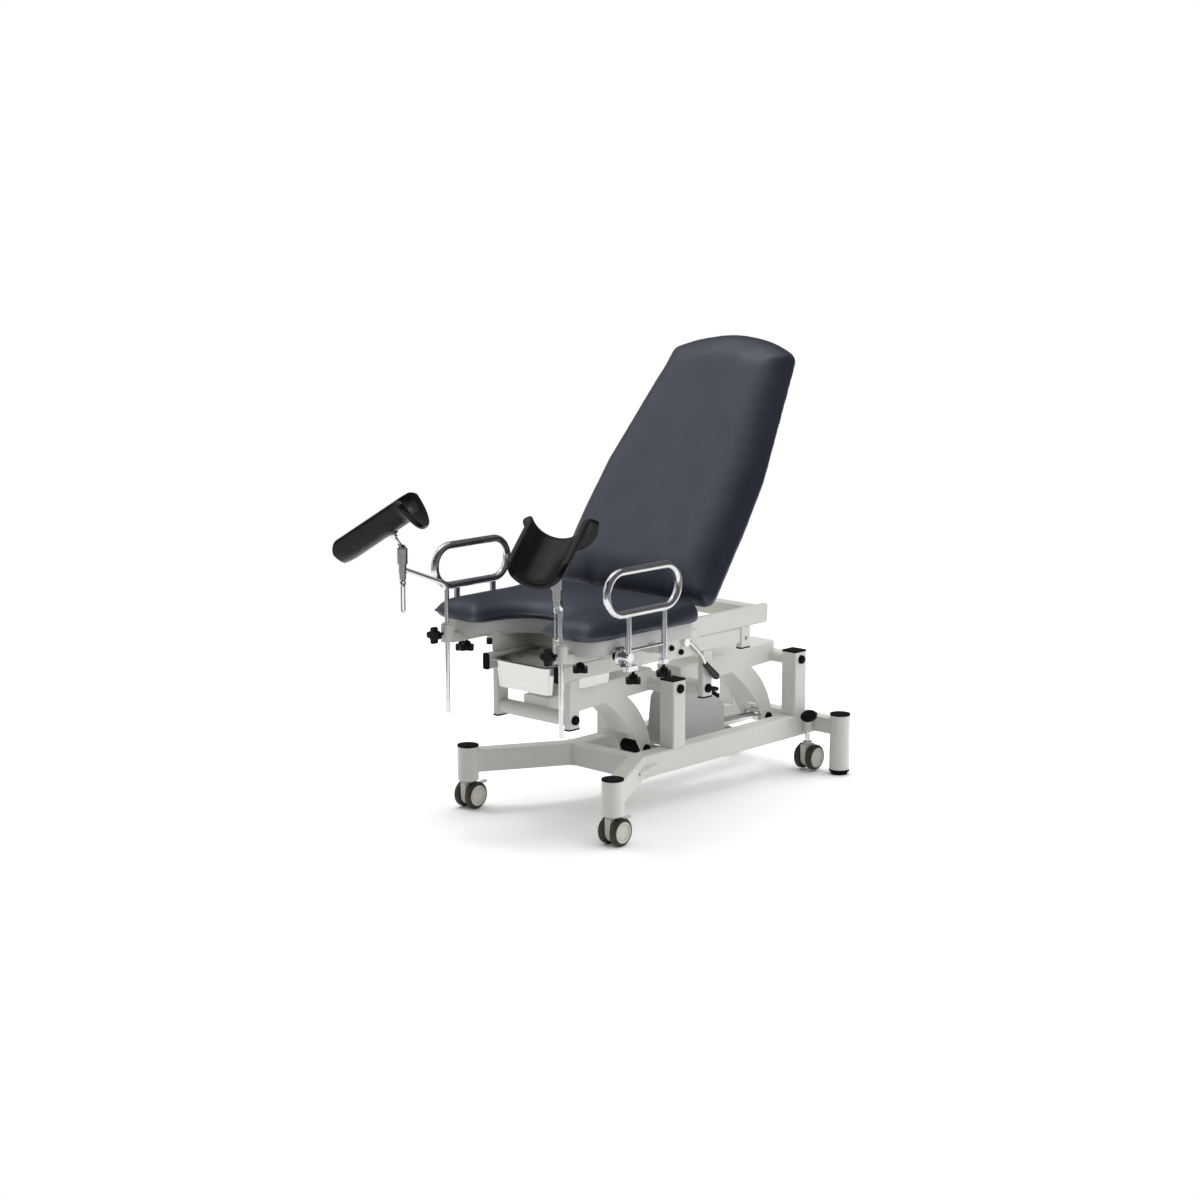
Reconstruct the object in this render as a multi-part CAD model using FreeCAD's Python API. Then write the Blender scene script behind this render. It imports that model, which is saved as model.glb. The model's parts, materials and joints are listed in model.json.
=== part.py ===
import FreeCAD, Part
import os
from math import atan2, cos, degrees, radians, sin, sqrt, tan

# Gynecological chair with a lifting seat frame, a gas-spring backrest, leg holders and folding armrests.
# Millimetres. +Z is up, Z = 0 is the floor, the foot end is at -Y and the patient's left is at +X.
# Y = 0 lies midway between the front caster posts and the rear foot posts.

# Fits
face_gap = 0.3
run_gap = 0.05
free_gap = 0.1
seat_gap = 0.3

# Chassis
wheel_base = 958.0
front_stance = 520.0
rear_stance = 480.0
rail_spacing = 228.0
rail_width = 50.0
rail_height = 60.0
rail_bottom = 100.0
tube_corner = 5.0
front_cross_setback = 250.0
front_cross_depth = 40.0
splay_width = 46.0
gusset_thickness = 6.0
gusset_length = 62.0
gusset_reach = 46.0
rear_cross_depth = 40.0
rear_cross_height = 45.0
rear_cross_bottom = 112.0
post_dia = 56.0
post_top = 168.0
front_post_bottom = 78.0
cap_thickness = 4.0
cap_lip = 0.5
glide_height = 8.0
glide_dia = 48.0
glide_ring_height = 6.0

# Casters
wheel_dia = 72.0
wheel_width = 20.0
wheel_gap = 20.0
tyre_round = 5.0
hub_recess = 3.0
hub_dia = 50.0
axle_dia = 8.0
caster_trail = 8.0
caster_body_width = 18.0
caster_body_dia = 56.0
caster_collar_dia = 40.0
caster_head_room = 1.5
caster_stem_dia = 16.0
caster_stem_length = 30.0
brake_width = 11.0
brake_length = 34.0
brake_thickness = 5.0
brake_barrel_dia = 10.0
brake_ear_dia = 14.0
brake_pin_dia = 5.0
brake_pin_back = 22.0
brake_pin_height = 58.0
rear_caster_x = 152.0
rear_caster_setback = 33.0
rear_caster_raise = 3.0
rear_caster_travel = 11.0
push_stem_dia = 14.0
push_spigot_dia = 10.0
push_spigot_length = 20.0
rear_collar_dia = 26.0
rear_collar_height = 8.0
guide_dia = 24.0
guide_height = 38.0
pedal_length = 58.0
pedal_width = 38.0
pedal_height = 34.0
pedal_offset_x = 28.0
pedal_offset_y = 32.0
pedal_bar = 8.0

# Lift linkage
front_pivot_y = -87.0
pivot_spacing = 515.0
pivot_height = 319.0
tower_size = 50.0
tower_above_pivot = 21.0
arm_length = 400.0
arm_drop = 17.0
arm_tube_dia = 38.0
beam_width = 84.0
beam_height = 60.0
beam_rise = 13.0
lever_drop = 174.0
lever_forward = 24.0
lever_wall = 5.0
lever_boss_dia = 40.0
lever_web_end = 128.0
pivot_bolt_dia = 16.0
pivot_bolt_depth = 30.0
pivot_head_dia = 24.0
pivot_head_length = 9.0
lever_pin_dia = 16.0
stop_roller_dia = 32.0
stop_cross_depth = 40.0

# Lift actuator
actuator_pivot_y = -9.0
actuator_pivot_height = 165.0
actuator_cross_depth = 40.0
actuator_cross_height = 22.0
actuator_pin_dia = 12.0
actuator_cheek = 6.0
actuator_width = 76.0
actuator_front = 20.0
actuator_length = 255.0
actuator_top = 120.0
actuator_tail_top = 60.0
actuator_bottom = 33.0
actuator_round = 10.0
rod_dia = 20.0
rod_overlap = 60.0
rod_bore_depth = 176.0
rod_eye_dia = 36.0
rod_eye_gap = 1.0

# Upper lift frame and seat frame
frame_width = 274.0
frame_wall = 20.0
post_depth = 40.0
post_below_pivot = 22.0
lift_rail_bottom = 404.0
lift_rail_height = 42.0
lift_rail_overhang = 50.0
lift_rail_length = 698.0
seat_rail_height = 52.0
seat_rail_front = 20.0
seat_rail_tail = 116.0
seat_rail_wall = 3.0
seat_rail_open = 70.0
cross_depth = 40.0
cross_height = 40.0
lift_cross_front = 222.0
lift_cross_inset = 1.0
seat_cross_front = 87.0
seat_cross_middle = 272.0
seat_cross_inset = 2.0
seat_cross_lift = 6.0
tail_post_gap = 6.0
tail_post_height = 55.0
tail_hole_dia = 12.0
tail_hole_height = 24.0
riser_length = 40.0
riser_stations = (7.0, 262.0)
side_plate_start = 337.0
side_plate_length = 132.0
side_plate_height = 68.0
side_plate_drop = 2.0
side_plate_thickness = 6.0
plate_bolt_dia = 15.0
plate_bolt_length = 8.0
plate_bolts = ((-14.0, -25.0), (-52.0, -9.0))

# Debris tray
tray_length = 255.0
tray_front = 58.0
tray_width = 202.0
tray_rim = 11.0
tray_depth = 72.0
tray_taper = 9.0
tray_wall = 1.5
tray_corner = 28.0
runner_width = 14.0
runner_thickness = 3.0
runner_height = 30.0

# Seat
seat_width = 574.0
seat_front = 101.0
seat_rear = 333.0
seat_waist = 5.0
seat_waist_round = 600.0
seat_thickness = 60.0
seat_side_round = 80.0
seat_rear_round = 45.0
cutout_depth = 158.0
cutout_mouth = 224.0
cutout_floor = 180.0
cutout_round = 85.0
lobe_round = 48.0
pan_inset = 18.0
pan_height = 38.0
pan_wall = 2.5
pan_top = 528.0

# Leg holders
leg_rod_x = 202.0
leg_rod_front = 117.0
leg_rod_dia = 12.0
leg_rod_bottom = 289.0
leg_bend_height = 625.0
leg_bend_radius = 24.0
leg_arm_out = 70.0
leg_arm_forward = 87.0
leg_arm_rise = 42.0
leg_barrel_dia = 20.0
leg_barrel_height = 25.0
leg_bush_dia = 20.0
leg_bush_flange = 26.0
leg_bush_lip = 4.0
leg_clamp_dia = 34.0
leg_clamp_bottom = 476.0
leg_clamp_height = 44.0
leg_clamp_arm = 26.0
leg_head_shaft = 12.0
leg_collar_dia = 27.0
leg_collar_height = 40.0
leg_nut_dia = 17.0
leg_nut_height = 15.0
leg_eye_dia = 18.0
leg_eye_hole = 9.0
leg_eye_thickness = 4.0
leg_eye_drop = 9.0
leg_ball_dia = 20.0
leg_stem_dia = 10.0
leg_stem_length = 44.0
handle_wire = 4.0
handle_length = 78.0
handle_width = 16.0
handle_lift = 0.8
crutch_heading_left = 27.0
crutch_heading_right = 54.0
crutch_slope_left = 24.0
crutch_slope_right = 34.0
crutch_wall = 15.0
crutch_lower = 146.0
crutch_upper = 90.0
crutch_radius = 78.0
crutch_spread = 84.0
crutch_depth = 74.0
crutch_toe_draw = 5.0
crutch_toe_length = 40.0
crutch_flare = 38.0
crutch_flare_length = 38.0
crutch_toe_round = 46.0
crutch_knee_round = 34.0

# Armrests
armrest_clear = 17.0
armrest_length = 284.0
armrest_height = 127.0
armrest_tube = 21.0
armrest_centre_back = 54.0
armrest_centre_z = 648.0
armrest_leg_dia = 16.0
armrest_set = 15.6
armrest_pivot_z = 485.0
armrest_leg_gap = 132.0
armrest_foot_z = 462.0
armrest_rung_dia = 8.0
armrest_rung_rise = 5.0
armrest_disc_dia = 54.0
armrest_disc_thickness = 8.0
armrest_boss_dia = 24.0
armrest_stud_dia = 12.0
outrigger_size = 26.0
outrigger_short = 75.0
saddle_reach = 34.0
foot_block_height = 12.0
foot_block_width = 16.0
front_foot_back = 18.0

# Star knobs
knob_star_dia = 44.0
knob_star_thickness = 13.0
knob_hub_dia = 20.0
knob_hub_height = 9.0
knob_stud_dia = 8.0
knob_stud_length = 20.0
knob_lobes = 4
knob_valley = 0.62

# Backrest and gas spring
back_pivot_set = 352.6
back_pivot_z = 540.0
back_angle = 55.4
back_start = 12.0
back_bottom_width = 570.0
back_kink = 386.0
back_kink_width = 534.0
back_kink_round = 300.0
back_shoulder = 748.0
back_shoulder_width = 412.0
back_apex = 846.0
back_apex_round = 420.0
back_shoulder_round = 40.0
back_bottom_round = 35.0
back_thickness = 60.0
back_underside = 9.0
board_thickness = 10.0
board_inset = 24.0
back_bar = 20.0
back_bar_x = 90.0
back_bar_length = 640.0
back_bar_start = 60.0
back_pin_dia = 12.0
lug_thickness = 8.0
lug_radius = 13.0
lug_length = 130.0
lug_pocket = 3.0
ear_offset = 2.0
gas_lower_set = 15.0
gas_lower_z = 415.0
gas_upper_u = 220.0
gas_upper_v = 55.0
gas_tube_dia = 28.0
gas_tube_start = 20.0
gas_tube_length = 165.0
gas_rod_dia = 10.0
gas_rod_overlap = 60.0
gas_eye_dia = 26.0
gas_eye_width = 28.0
gas_pin_dia = 10.0
gas_bore_depth = 155.0
cheek_thickness = 6.0
gas_open_gap = 2.0

# Release lever
lever_pivot_set = 410.2
lever_pivot_z = 444.2
lever_hub_dia = 22.0
lever_hub_length = 12.0
lever_shaft_dia = 10.0
lever_angle = 41.7
lever_rod_dia = 9.0
lever_bow = 9.5
lever_bow_start = 15.0
lever_bow_end = 79.0
lever_grip_start = 105.0
lever_grip_length = 70.0
lever_grip_dia = 20.0

V = FreeCAD.Vector
ORIGIN = V(0, 0, 0)

# Places that follow from the sizes above
front_y = -wheel_base / 2
rear_y = wheel_base / 2
rail_x = rail_spacing / 2
rail_inner = rail_x - rail_width / 2
rail_outer = rail_x + rail_width / 2
rail_top = rail_bottom + rail_height
front_cross_y = front_y + front_cross_setback
rear_cross_top = rear_cross_bottom + rear_cross_height
rear_post_bottom = glide_height + glide_ring_height
rear_pivot_y = front_pivot_y + pivot_spacing
arm_reach = sqrt(arm_length ** 2 - arm_drop ** 2)
upper_pivot_height = pivot_height - arm_drop
upper_pivot_y = front_pivot_y - arm_reach
tower_top = pivot_height + tower_above_pivot
frame_x = frame_width / 2
frame_inner = frame_x - frame_wall
lift_rail_top = lift_rail_bottom + lift_rail_height
seat_rail_top = lift_rail_top + seat_rail_height
lift_rail_start = upper_pivot_y - lift_rail_overhang
lift_rail_end = lift_rail_start + lift_rail_length
cushion_bottom = pan_top + seat_gap
lift_reach = lift_rail_length - lift_rail_overhang
lift_cross_rear = lift_reach - cross_depth - lift_cross_inset
tail_post_start = lift_reach + tail_post_gap
seat_rail_length = lift_reach + seat_rail_front + seat_rail_tail
seat_cross_rear = lift_reach + seat_rail_tail - cross_depth - seat_cross_inset
back_pivot_y = upper_pivot_y + back_pivot_set
gas_lower_y = back_pivot_y - gas_lower_set
lever_pivot_y = upper_pivot_y + lever_pivot_set
armrest_x = seat_width / 2 + armrest_clear
armrest_pivot_y = upper_pivot_y + armrest_set
armrest_centre_y = armrest_pivot_y + armrest_centre_back
outrigger_end = armrest_x - outrigger_short
saddle_start = armrest_x - saddle_reach
beam_x = beam_width / 2


def box(x, y, z):
    """A block between the low and the high value on each axis."""
    return Part.makeBox(x[1] - x[0], y[1] - y[0], z[1] - z[0], V(x[0], y[0], z[0]))


def cylinder(dia, start, end):
    """A round bar between two points."""
    axis = V(*end) - V(*start)
    return Part.makeCylinder(dia / 2, axis.Length, V(*start), axis)


def cone(start_dia, end_dia, start, end):
    """A tapered round bar between two points."""
    axis = V(*end) - V(*start)
    return Part.makeCone(start_dia / 2, end_dia / 2, axis.Length, V(*start), axis)


def union(*shapes):
    """One solid from shapes that touch."""
    return shapes[0].multiFuse(list(shapes[1:])).removeSplitter()


def mirrored(shape):
    """The same shape on the other side of the chair."""
    return shape.mirror(ORIGIN, V(1, 0, 0))


def pair(shape):
    """The shape on both sides of the chair."""
    return [shape, mirrored(shape)]


def save(node, *shapes):
    """Write one node, as a solid or as a group of separate solids."""
    result = shapes[0] if len(shapes) == 1 else Part.makeCompound(list(shapes))
    result.exportStep("parts/" + node + ".step")


def save_sides(node, shape):
    """Write a left node and its mirrored right node."""
    save(node + "_left", shape)
    save(node + "_right", mirrored(shape))


def in_plan(level):
    """Outline (u, v) lies in X and Y at a height."""
    return lambda point: V(point.x, point.y, level)


def in_side(level):
    """Outline (u, v) lies in Y and Z at a distance across."""
    return lambda point: V(level, point.x, point.y)


def in_front(level):
    """Outline (u, v) lies in X and Z at a distance along."""
    return lambda point: V(point.x, level, point.y)


def rounded_wire(corners, place):
    """A closed outline through (u, v, radius) corners, each rounded by an arc."""
    spans = []
    for index, (u, v, radius) in enumerate(corners):
        before = corners[index - 1]
        after = corners[(index + 1) % len(corners)]
        here = V(u, v, 0)
        back = (V(before[0], before[1], 0) - here).normalize()
        ahead = (V(after[0], after[1], 0) - here).normalize()
        half = back.getAngle(ahead) / 2
        reach = radius / tan(half)
        middle = here + (back + ahead).normalize() * (radius / sin(half) - radius)
        spans.append((here + back * reach, middle, here + ahead * reach, radius))
    edges = []
    for index, (first, middle, last, radius) in enumerate(spans):
        following = spans[(index + 1) % len(spans)][0]
        if radius > 0:
            edges.append(Part.Arc(place(first), place(middle), place(last)).toShape())
        edges.append(Part.LineSegment(place(last), place(following)).toShape())
    return Part.Wire(edges)


def inset(corners, amount):
    """The counter-clockwise outline moved inwards; outer rounds shrink and inner rounds grow."""
    moved = []
    for index, (u, v, radius) in enumerate(corners):
        before = corners[index - 1]
        after = corners[(index + 1) % len(corners)]
        first = V(u - before[0], v - before[1], 0).normalize()
        second = V(after[0] - u, after[1] - v, 0).normalize()
        first_normal = V(-first.y, first.x, 0)
        second_normal = V(-second.y, second.x, 0)
        shift = (first_normal + second_normal) * (amount / (1 + first_normal.dot(second_normal)))
        outer = first.cross(second).z > 0
        moved.append((u + shift.x, v + shift.y, radius - amount if outer else radius + amount))
    return moved


def slab(corners, place, push):
    """A plate with a rounded outline."""
    return Part.Face(rounded_wire(corners, place)).extrude(V(*push))


def side_slab(corners, x):
    """A plate whose outline is seen from the side."""
    return slab(corners, in_side(x[0]), (x[1] - x[0], 0, 0))


def plan_slab(corners, z):
    """A plate whose outline is seen from above."""
    return slab(corners, in_plan(z[0]), (0, 0, z[1] - z[0]))


def rectangle(u, v, radius):
    """The corners of a rounded rectangle."""
    return [(u[0], v[0], radius), (u[1], v[0], radius), (u[1], v[1], radius), (u[0], v[1], radius)]


def bar(along, x, y, z, radius=tube_corner):
    """A bar of rounded rectangular section along one axis."""
    if along == "x":
        return side_slab(rectangle(y, z, radius), x)
    if along == "y":
        return slab(rectangle(x, z, radius), in_front(y[0]), (0, y[1] - y[0], 0))
    return plan_slab(rectangle(x, y, radius), z)


def crowned(corners, levels, place):
    """A pad lofted through its outline at each (level, inset)."""
    wires = [rounded_wire(inset(corners, amount), place(level)) for level, amount in levels]
    return Part.makeLoft(wires, True, True)


def around(centre, spread):
    """Low and high value about a centre."""
    return (centre - spread / 2, centre + spread / 2)


def bolt(dia, depth, start):
    """A pivot bolt with a covered head, its axis along X, its face at start, its shank pointing to -X."""
    x, y, z = start
    rim = pivot_head_length * 0.6
    shank = cylinder(dia, (x - depth, y, z), (x, y, z))
    head = cylinder(pivot_head_dia, (x, y, z), (x + rim, y, z))
    crown = cone(pivot_head_dia, pivot_head_dia * 0.7, (x + rim, y, z), (x + pivot_head_length, y, z))
    return union(shank, head, crown)


def star_knob(stud_length=knob_stud_length, bore=0.0):
    """A star knob standing on the origin, its star below and its hub and stud above."""
    step = radians(360.0 / knob_lobes)
    outer = knob_star_dia / 2
    inner = outer * knob_valley
    spread = step * 0.27

    def point(radius, angle):
        return V(radius * cos(angle), radius * sin(angle), 0)

    edges = []
    for lobe in range(knob_lobes):
        middle = lobe * step
        start = point(outer * 0.9, middle - spread)
        tip = point(outer, middle)
        end = point(outer * 0.9, middle + spread)
        valley = point(inner, middle + step / 2)
        following = point(outer * 0.9, middle + step - spread)
        edges.append(Part.Arc(start, tip, end).toShape())
        edges.append(Part.Arc(end, valley, following).toShape())
    star = Part.Face(Part.Wire(edges)).extrude(V(0, 0, knob_star_thickness))
    hub_top = knob_star_thickness + knob_hub_height
    hub = cone(knob_hub_dia * 1.2, knob_hub_dia, (0, 0, knob_star_thickness), (0, 0, hub_top))
    if bore:
        return union(star, hub).cut(cylinder(bore, (0, 0, -1), (0, 0, hub_top + 1)))
    stud = cylinder(knob_stud_dia, (0, 0, hub_top), (0, 0, hub_top + stud_length))
    return union(star, hub, stud)


def placed(shape, x, y, z):
    """A copy of the shape moved to a place."""
    result = shape.copy()
    result.translate(V(x, y, z))
    return result


def turned(shape, axis, angle, centre=ORIGIN):
    """A copy of the shape turned about an axis."""
    result = shape.copy()
    result.rotate(centre, axis, angle)
    return result


X_AXIS = V(1, 0, 0)
Y_AXIS = V(0, 1, 0)
Z_AXIS = V(0, 0, 1)
knob_height = knob_star_thickness + knob_hub_height


def splayed_leg():
    """The front leg from the chassis corner to the left caster post."""
    out = front_stance / 2 - rail_x
    length = sqrt(out ** 2 + front_cross_setback ** 2)
    leg = bar("y", around(0, splay_width), (0, length), (rail_bottom, rail_top))
    leg.rotate(ORIGIN, Z_AXIS, degrees(atan2(out, front_cross_setback)))
    leg.translate(V(front_stance / 2, front_y, 0))
    return leg


def corner_gusset():
    """The triangular plate that stiffens the splayed leg against the rail."""
    middle = rail_bottom + rail_height / 2
    start = front_cross_y - gusset_length / 2
    tip = (rail_outer + gusset_reach, start - gusset_length / 2, 0)
    outline = [(rail_outer - 1, start, 0), tip, (rail_outer - 1, start + gusset_length * 1.5, 0)]
    return plan_slab(outline, around(middle, gusset_thickness))


def caster_guide():
    """The sleeve that guides the left retractable caster, with its webs to the rail and the rear member."""
    y = rear_y - rear_caster_setback
    z = (rear_cross_bottom, rear_cross_bottom + guide_height)
    sleeve = cylinder(guide_dia, (rear_caster_x, y, z[0]), (rear_caster_x, y, z[1]))
    rail_web = box((rail_outer - 1, rear_caster_x), around(y, guide_dia / 2), z)
    rear_web = box(around(rear_caster_x, guide_dia / 2), (y, rear_y - rear_cross_depth / 2 + 1), z)
    return union(sleeve, rail_web, rear_web)


def actuator_cheek_plate():
    """The left cheek that holds the actuator's trunnion pin."""
    inner = actuator_width / 2 + face_gap
    foot = rail_bottom + actuator_cross_height - 1
    half = actuator_pin_dia + 2
    low = actuator_pivot_y - half
    high = actuator_pivot_y + half
    top = actuator_pivot_height + half
    outline = [(low, foot, 0), (high, foot, 0), (high, top, half - 1), (low, top, half - 1)]
    return side_slab(outline, (inner, inner + actuator_cheek))


def base_frame():
    """Rails, cross members, splayed legs, posts and pivot towers, welded together."""
    rail_z = (rail_bottom, rail_top)
    rear_face = rear_y + rear_cross_depth / 2
    rail = bar("y", (rail_inner, rail_outer), (front_cross_y - front_cross_depth / 2, rear_face), rail_z)
    front_cross = bar("x", (-rail_outer, rail_outer), around(front_cross_y, front_cross_depth), rail_z)
    rear_cross = bar("x", around(0, rear_stance), around(rear_y, rear_cross_depth),
                     (rear_cross_bottom, rear_cross_top))
    stop_y = front_pivot_y - lever_forward
    stop_top = pivot_height - lever_drop - stop_roller_dia / 2 - face_gap
    inside = (-rail_inner - 1, rail_inner + 1)
    stop_cross_top = pivot_height - lever_drop - lever_boss_dia / 2 - 2 * face_gap
    stop_cross = bar("x", inside, around(stop_y, stop_cross_depth), (rail_bottom, stop_cross_top))
    pad_x = beam_x - lever_wall - 3 * face_gap
    stop_pad = box((-pad_x, pad_x), around(stop_y, stop_cross_depth / 2), (stop_cross_top - 1, stop_top))
    actuator_cross = bar("x", inside, around(actuator_pivot_y, actuator_cross_depth),
                         (rail_bottom, rail_bottom + actuator_cross_height))
    cheek_edge = actuator_width / 2 + face_gap + actuator_cheek
    trunnion = cylinder(actuator_pin_dia, (-cheek_edge, actuator_pivot_y, actuator_pivot_height),
                        (cheek_edge, actuator_pivot_y, actuator_pivot_height))
    front_x = front_stance / 2
    rear_x = rear_stance / 2
    front_post = cylinder(post_dia, (front_x, front_y, front_post_bottom), (front_x, front_y, post_top))
    rear_post = cylinder(post_dia, (rear_x, rear_y, rear_post_bottom), (rear_x, rear_y, post_top))
    towers = [bar("z", (rail_inner, rail_outer), around(y, tower_size), (rail_top - 1, tower_top))
              for y in (front_pivot_y, rear_pivot_y)]
    one_side = [rail, splayed_leg(), corner_gusset(), front_post, rear_post, caster_guide(),
                actuator_cheek_plate()] + towers
    welded = [front_cross, rear_cross, stop_cross, stop_pad, actuator_cross, trunnion]
    for shape in one_side:
        welded += pair(shape)
    frame = union(*welded)
    stem_bore = caster_stem_dia + 2 * run_gap
    guide_bore = push_stem_dia + 2 * run_gap
    guide_y = rear_y - rear_caster_setback
    bores = [cylinder(stem_bore, (front_x, front_y, front_post_bottom - 1),
                      (front_x, front_y, front_post_bottom + caster_stem_length + 2)),
             cylinder(guide_bore, (rear_caster_x, guide_y, rail_bottom),
                      (rear_caster_x, guide_y, post_top))]
    for y in (front_pivot_y, rear_pivot_y):
        bores.append(cylinder(pivot_bolt_dia + 2 * free_gap, (rail_inner - 1, y, pivot_height),
                              (rail_outer + 1, y, pivot_height)))
    cuts = []
    for bore in bores:
        cuts += pair(bore)
    return frame.cut(Part.makeCompound(cuts))


def base_caps():
    """Plastic caps on the four round posts and the four square towers."""
    caps = []
    for x, y in ((front_stance / 2, front_y), (rear_stance / 2, rear_y)):
        caps += pair(cylinder(post_dia + 2 * cap_lip, (x, y, post_top), (x, y, post_top + cap_thickness)))
    for y in (front_pivot_y, rear_pivot_y):
        lid = bar("z", (rail_inner - cap_lip, rail_outer + cap_lip), around(y, tower_size + 2 * cap_lip),
                  (tower_top, tower_top + cap_thickness))
        caps += pair(lid)
    return caps


def rear_feet():
    """The two floor glides under the rear posts, each with its ring."""
    x = rear_stance / 2
    ring = cylinder(post_dia + 2 * cap_lip, (x, rear_y, glide_height), (x, rear_y, rear_post_bottom))
    glide = cone(glide_dia * 0.94, glide_dia, (x, rear_y, 0), (x, rear_y, glide_height))
    return pair(union(ring, glide))


def wheel_profile():
    """Half section of one twin-caster wheel as (distance out, radius), from its inner face outwards."""
    inner = wheel_gap / 2
    outer = inner + wheel_width
    radius = wheel_dia / 2
    hub = hub_dia / 2
    return [(inner, 0), (inner, radius - tyre_round), (inner + tyre_round, radius),
            (outer - tyre_round, radius), (outer, radius - tyre_round), (outer, hub),
            (outer - hub_recess, hub - hub_recess), (outer - hub_recess, 0)]


def wheel_pair():
    """Twin wheels on one axle, the axle along X through the origin."""
    points = [V(out, 0, radius) for out, radius in wheel_profile()]
    face = Part.Face(Part.makePolygon(points + points[:1]))
    wheel = face.revolve(ORIGIN, X_AXIS, 360)
    axle = cylinder(axle_dia, (-wheel_gap / 2 - 1, 0, 0), (wheel_gap / 2 + 1, 0, 0))
    return union(wheel, mirrored(wheel), axle)


def caster_body(collar_dia, collar_height):
    """The moulded body between twin wheels, its axle at the origin and its swivel axis ahead of it."""
    half = caster_body_width / 2
    hood = cylinder(caster_body_dia, (-half, 0, 0), (half, 0, 0))
    top = wheel_dia / 2 + caster_head_room
    stance = caster_body_dia / 2
    neck = side_slab([(-stance, 0, 0), (stance * 0.6, 0, 0), (stance * 0.45, top, 3), (-stance, top, 3)],
                     (-half, half))
    collar = cylinder(collar_dia, (0, -caster_trail, top), (0, -caster_trail, top + collar_height))
    bore = cylinder(axle_dia + 2 * run_gap, (-half - 1, 0, 0), (half + 1, 0, 0))
    return union(hood, neck, collar).cut(bore)


def brake_place():
    """The brake hinge behind and above the axle."""
    return brake_pin_back, brake_pin_height - wheel_dia / 2


def with_brake_hinge(body):
    """The caster body with two ears, a slot between them and the brake's hinge pin."""
    y, z = brake_place()
    half = caster_body_width / 2
    slot_half = brake_width / 2 + face_gap
    room = brake_barrel_dia / 2 + face_gap
    far = wheel_dia
    ears = cylinder(brake_ear_dia, (-half, y, z), (half, y, z))
    slot = box((-slot_half, slot_half), (y - room, y + far), (z - room, z + brake_ear_dia))
    pin = cylinder(brake_pin_dia, (-half, y, z), (half, y, z))
    return union(union(body, ears).cut(slot), pin)


def brake_tab():
    """The brake tab with its hinge barrel, sloping up behind the wheels."""
    y, z = brake_place()
    half = brake_thickness / 2
    reach = y + brake_length
    outline = [(y, z - half, 0), (reach, z + half, 1), (reach, z + 3 * half, 1), (y, z + half, 0)]
    plate = side_slab(outline, around(0, brake_width))
    barrel = cylinder(brake_barrel_dia, (-brake_width / 2, y, z), (brake_width / 2, y, z))
    bore = cylinder(brake_pin_dia + 2 * run_gap, (-brake_width, y, z), (brake_width, y, z))
    return union(plate, barrel).cut(bore)


def front_caster():
    """The left front caster: body, wheels and brake tab."""
    x = front_stance / 2
    y = front_y + caster_trail
    z = wheel_dia / 2
    collar_height = front_post_bottom - face_gap - wheel_dia - caster_head_room
    body = with_brake_hinge(caster_body(caster_collar_dia, collar_height))
    base = front_post_bottom - face_gap - wheel_dia / 2 - 1
    stem = cylinder(caster_stem_dia, (0, -caster_trail, base), (0, -caster_trail, base + caster_stem_length))
    return placed(union(body, stem), x, y, z), placed(wheel_pair(), x, y, z), placed(brake_tab(), x, y, z)


def rear_caster():
    """The left retractable caster: push stem, foot pedal, swivel body and wheels."""
    x = rear_caster_x
    y = rear_y - rear_caster_setback
    axle_z = wheel_dia / 2 + rear_caster_raise
    body = caster_body(rear_collar_dia, rear_collar_height)
    collar_top = wheel_dia / 2 + caster_head_room + rear_collar_height
    spigot_bore = cylinder(push_spigot_dia + 2 * run_gap,
                           (0, -caster_trail, collar_top - push_spigot_length - 1),
                           (0, -caster_trail, collar_top + 1))
    body = placed(body.cut(spigot_bore), x, y + caster_trail, axle_z)
    wheels = placed(wheel_pair(), x, y + caster_trail, axle_z)
    shoulder = axle_z + collar_top + face_gap
    guide_top = rear_cross_bottom + guide_height
    bar_bottom = guide_top + rear_caster_travel + 2 * face_gap
    bar_top = bar_bottom + pedal_bar
    stem = cylinder(push_stem_dia, (x, y, shoulder), (x, y, bar_bottom))
    spigot = cylinder(push_spigot_dia, (x, y, shoulder - push_spigot_length), (x, y, shoulder + 1))
    pad_x = x + pedal_offset_x
    pad_y = y - pedal_offset_y
    sphere = Part.makeSphere(pedal_length / 2)
    stretch = FreeCAD.Matrix()
    stretch.scale(pedal_width / pedal_length, 1, pedal_height / pedal_length)
    pad = placed(sphere.transformGeometry(stretch), pad_x, pad_y, bar_bottom + pedal_bar / 2)
    half = push_stem_dia / 2
    link = box((x - half, pad_x), (y - half, y + half), (bar_bottom, bar_top))
    tail = box((pad_x - push_stem_dia, pad_x), (pad_y, y + push_stem_dia / 2), (bar_bottom, bar_top))
    pedal = union(pad, link, tail)
    return union(stem, spigot), pedal, body, wheels


def lever_outline(pivot_y):
    """The curved lever's side outline, concave to the foot end, hanging from the beam to its pin."""
    def point(y, z):
        return V(0, pivot_y + y, pivot_height + z)

    toe_y = -lever_forward
    toe_z = -lever_drop
    half = lever_boss_dia / 2
    root_front = point(-arm_reach * 0.52, -arm_drop * 0.5)
    root_rear = point(-arm_reach * 0.3, -arm_drop * 0.3)
    toe_front = point(toe_y - half, toe_z)
    toe_rear = point(toe_y + half, toe_z)
    front_arc = Part.Arc(root_front, point(-arm_reach * 0.27, -lever_drop * 0.5), toe_front)
    rear_arc = Part.Arc(toe_rear, point(-arm_reach * 0.125, -lever_drop * 0.4), root_rear)
    toe = Part.LineSegment(toe_front, toe_rear)
    root = Part.LineSegment(root_rear, root_front)
    return Part.Wire([front_arc.toShape(), toe.toShape(), rear_arc.toShape(), root.toShape()])


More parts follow.
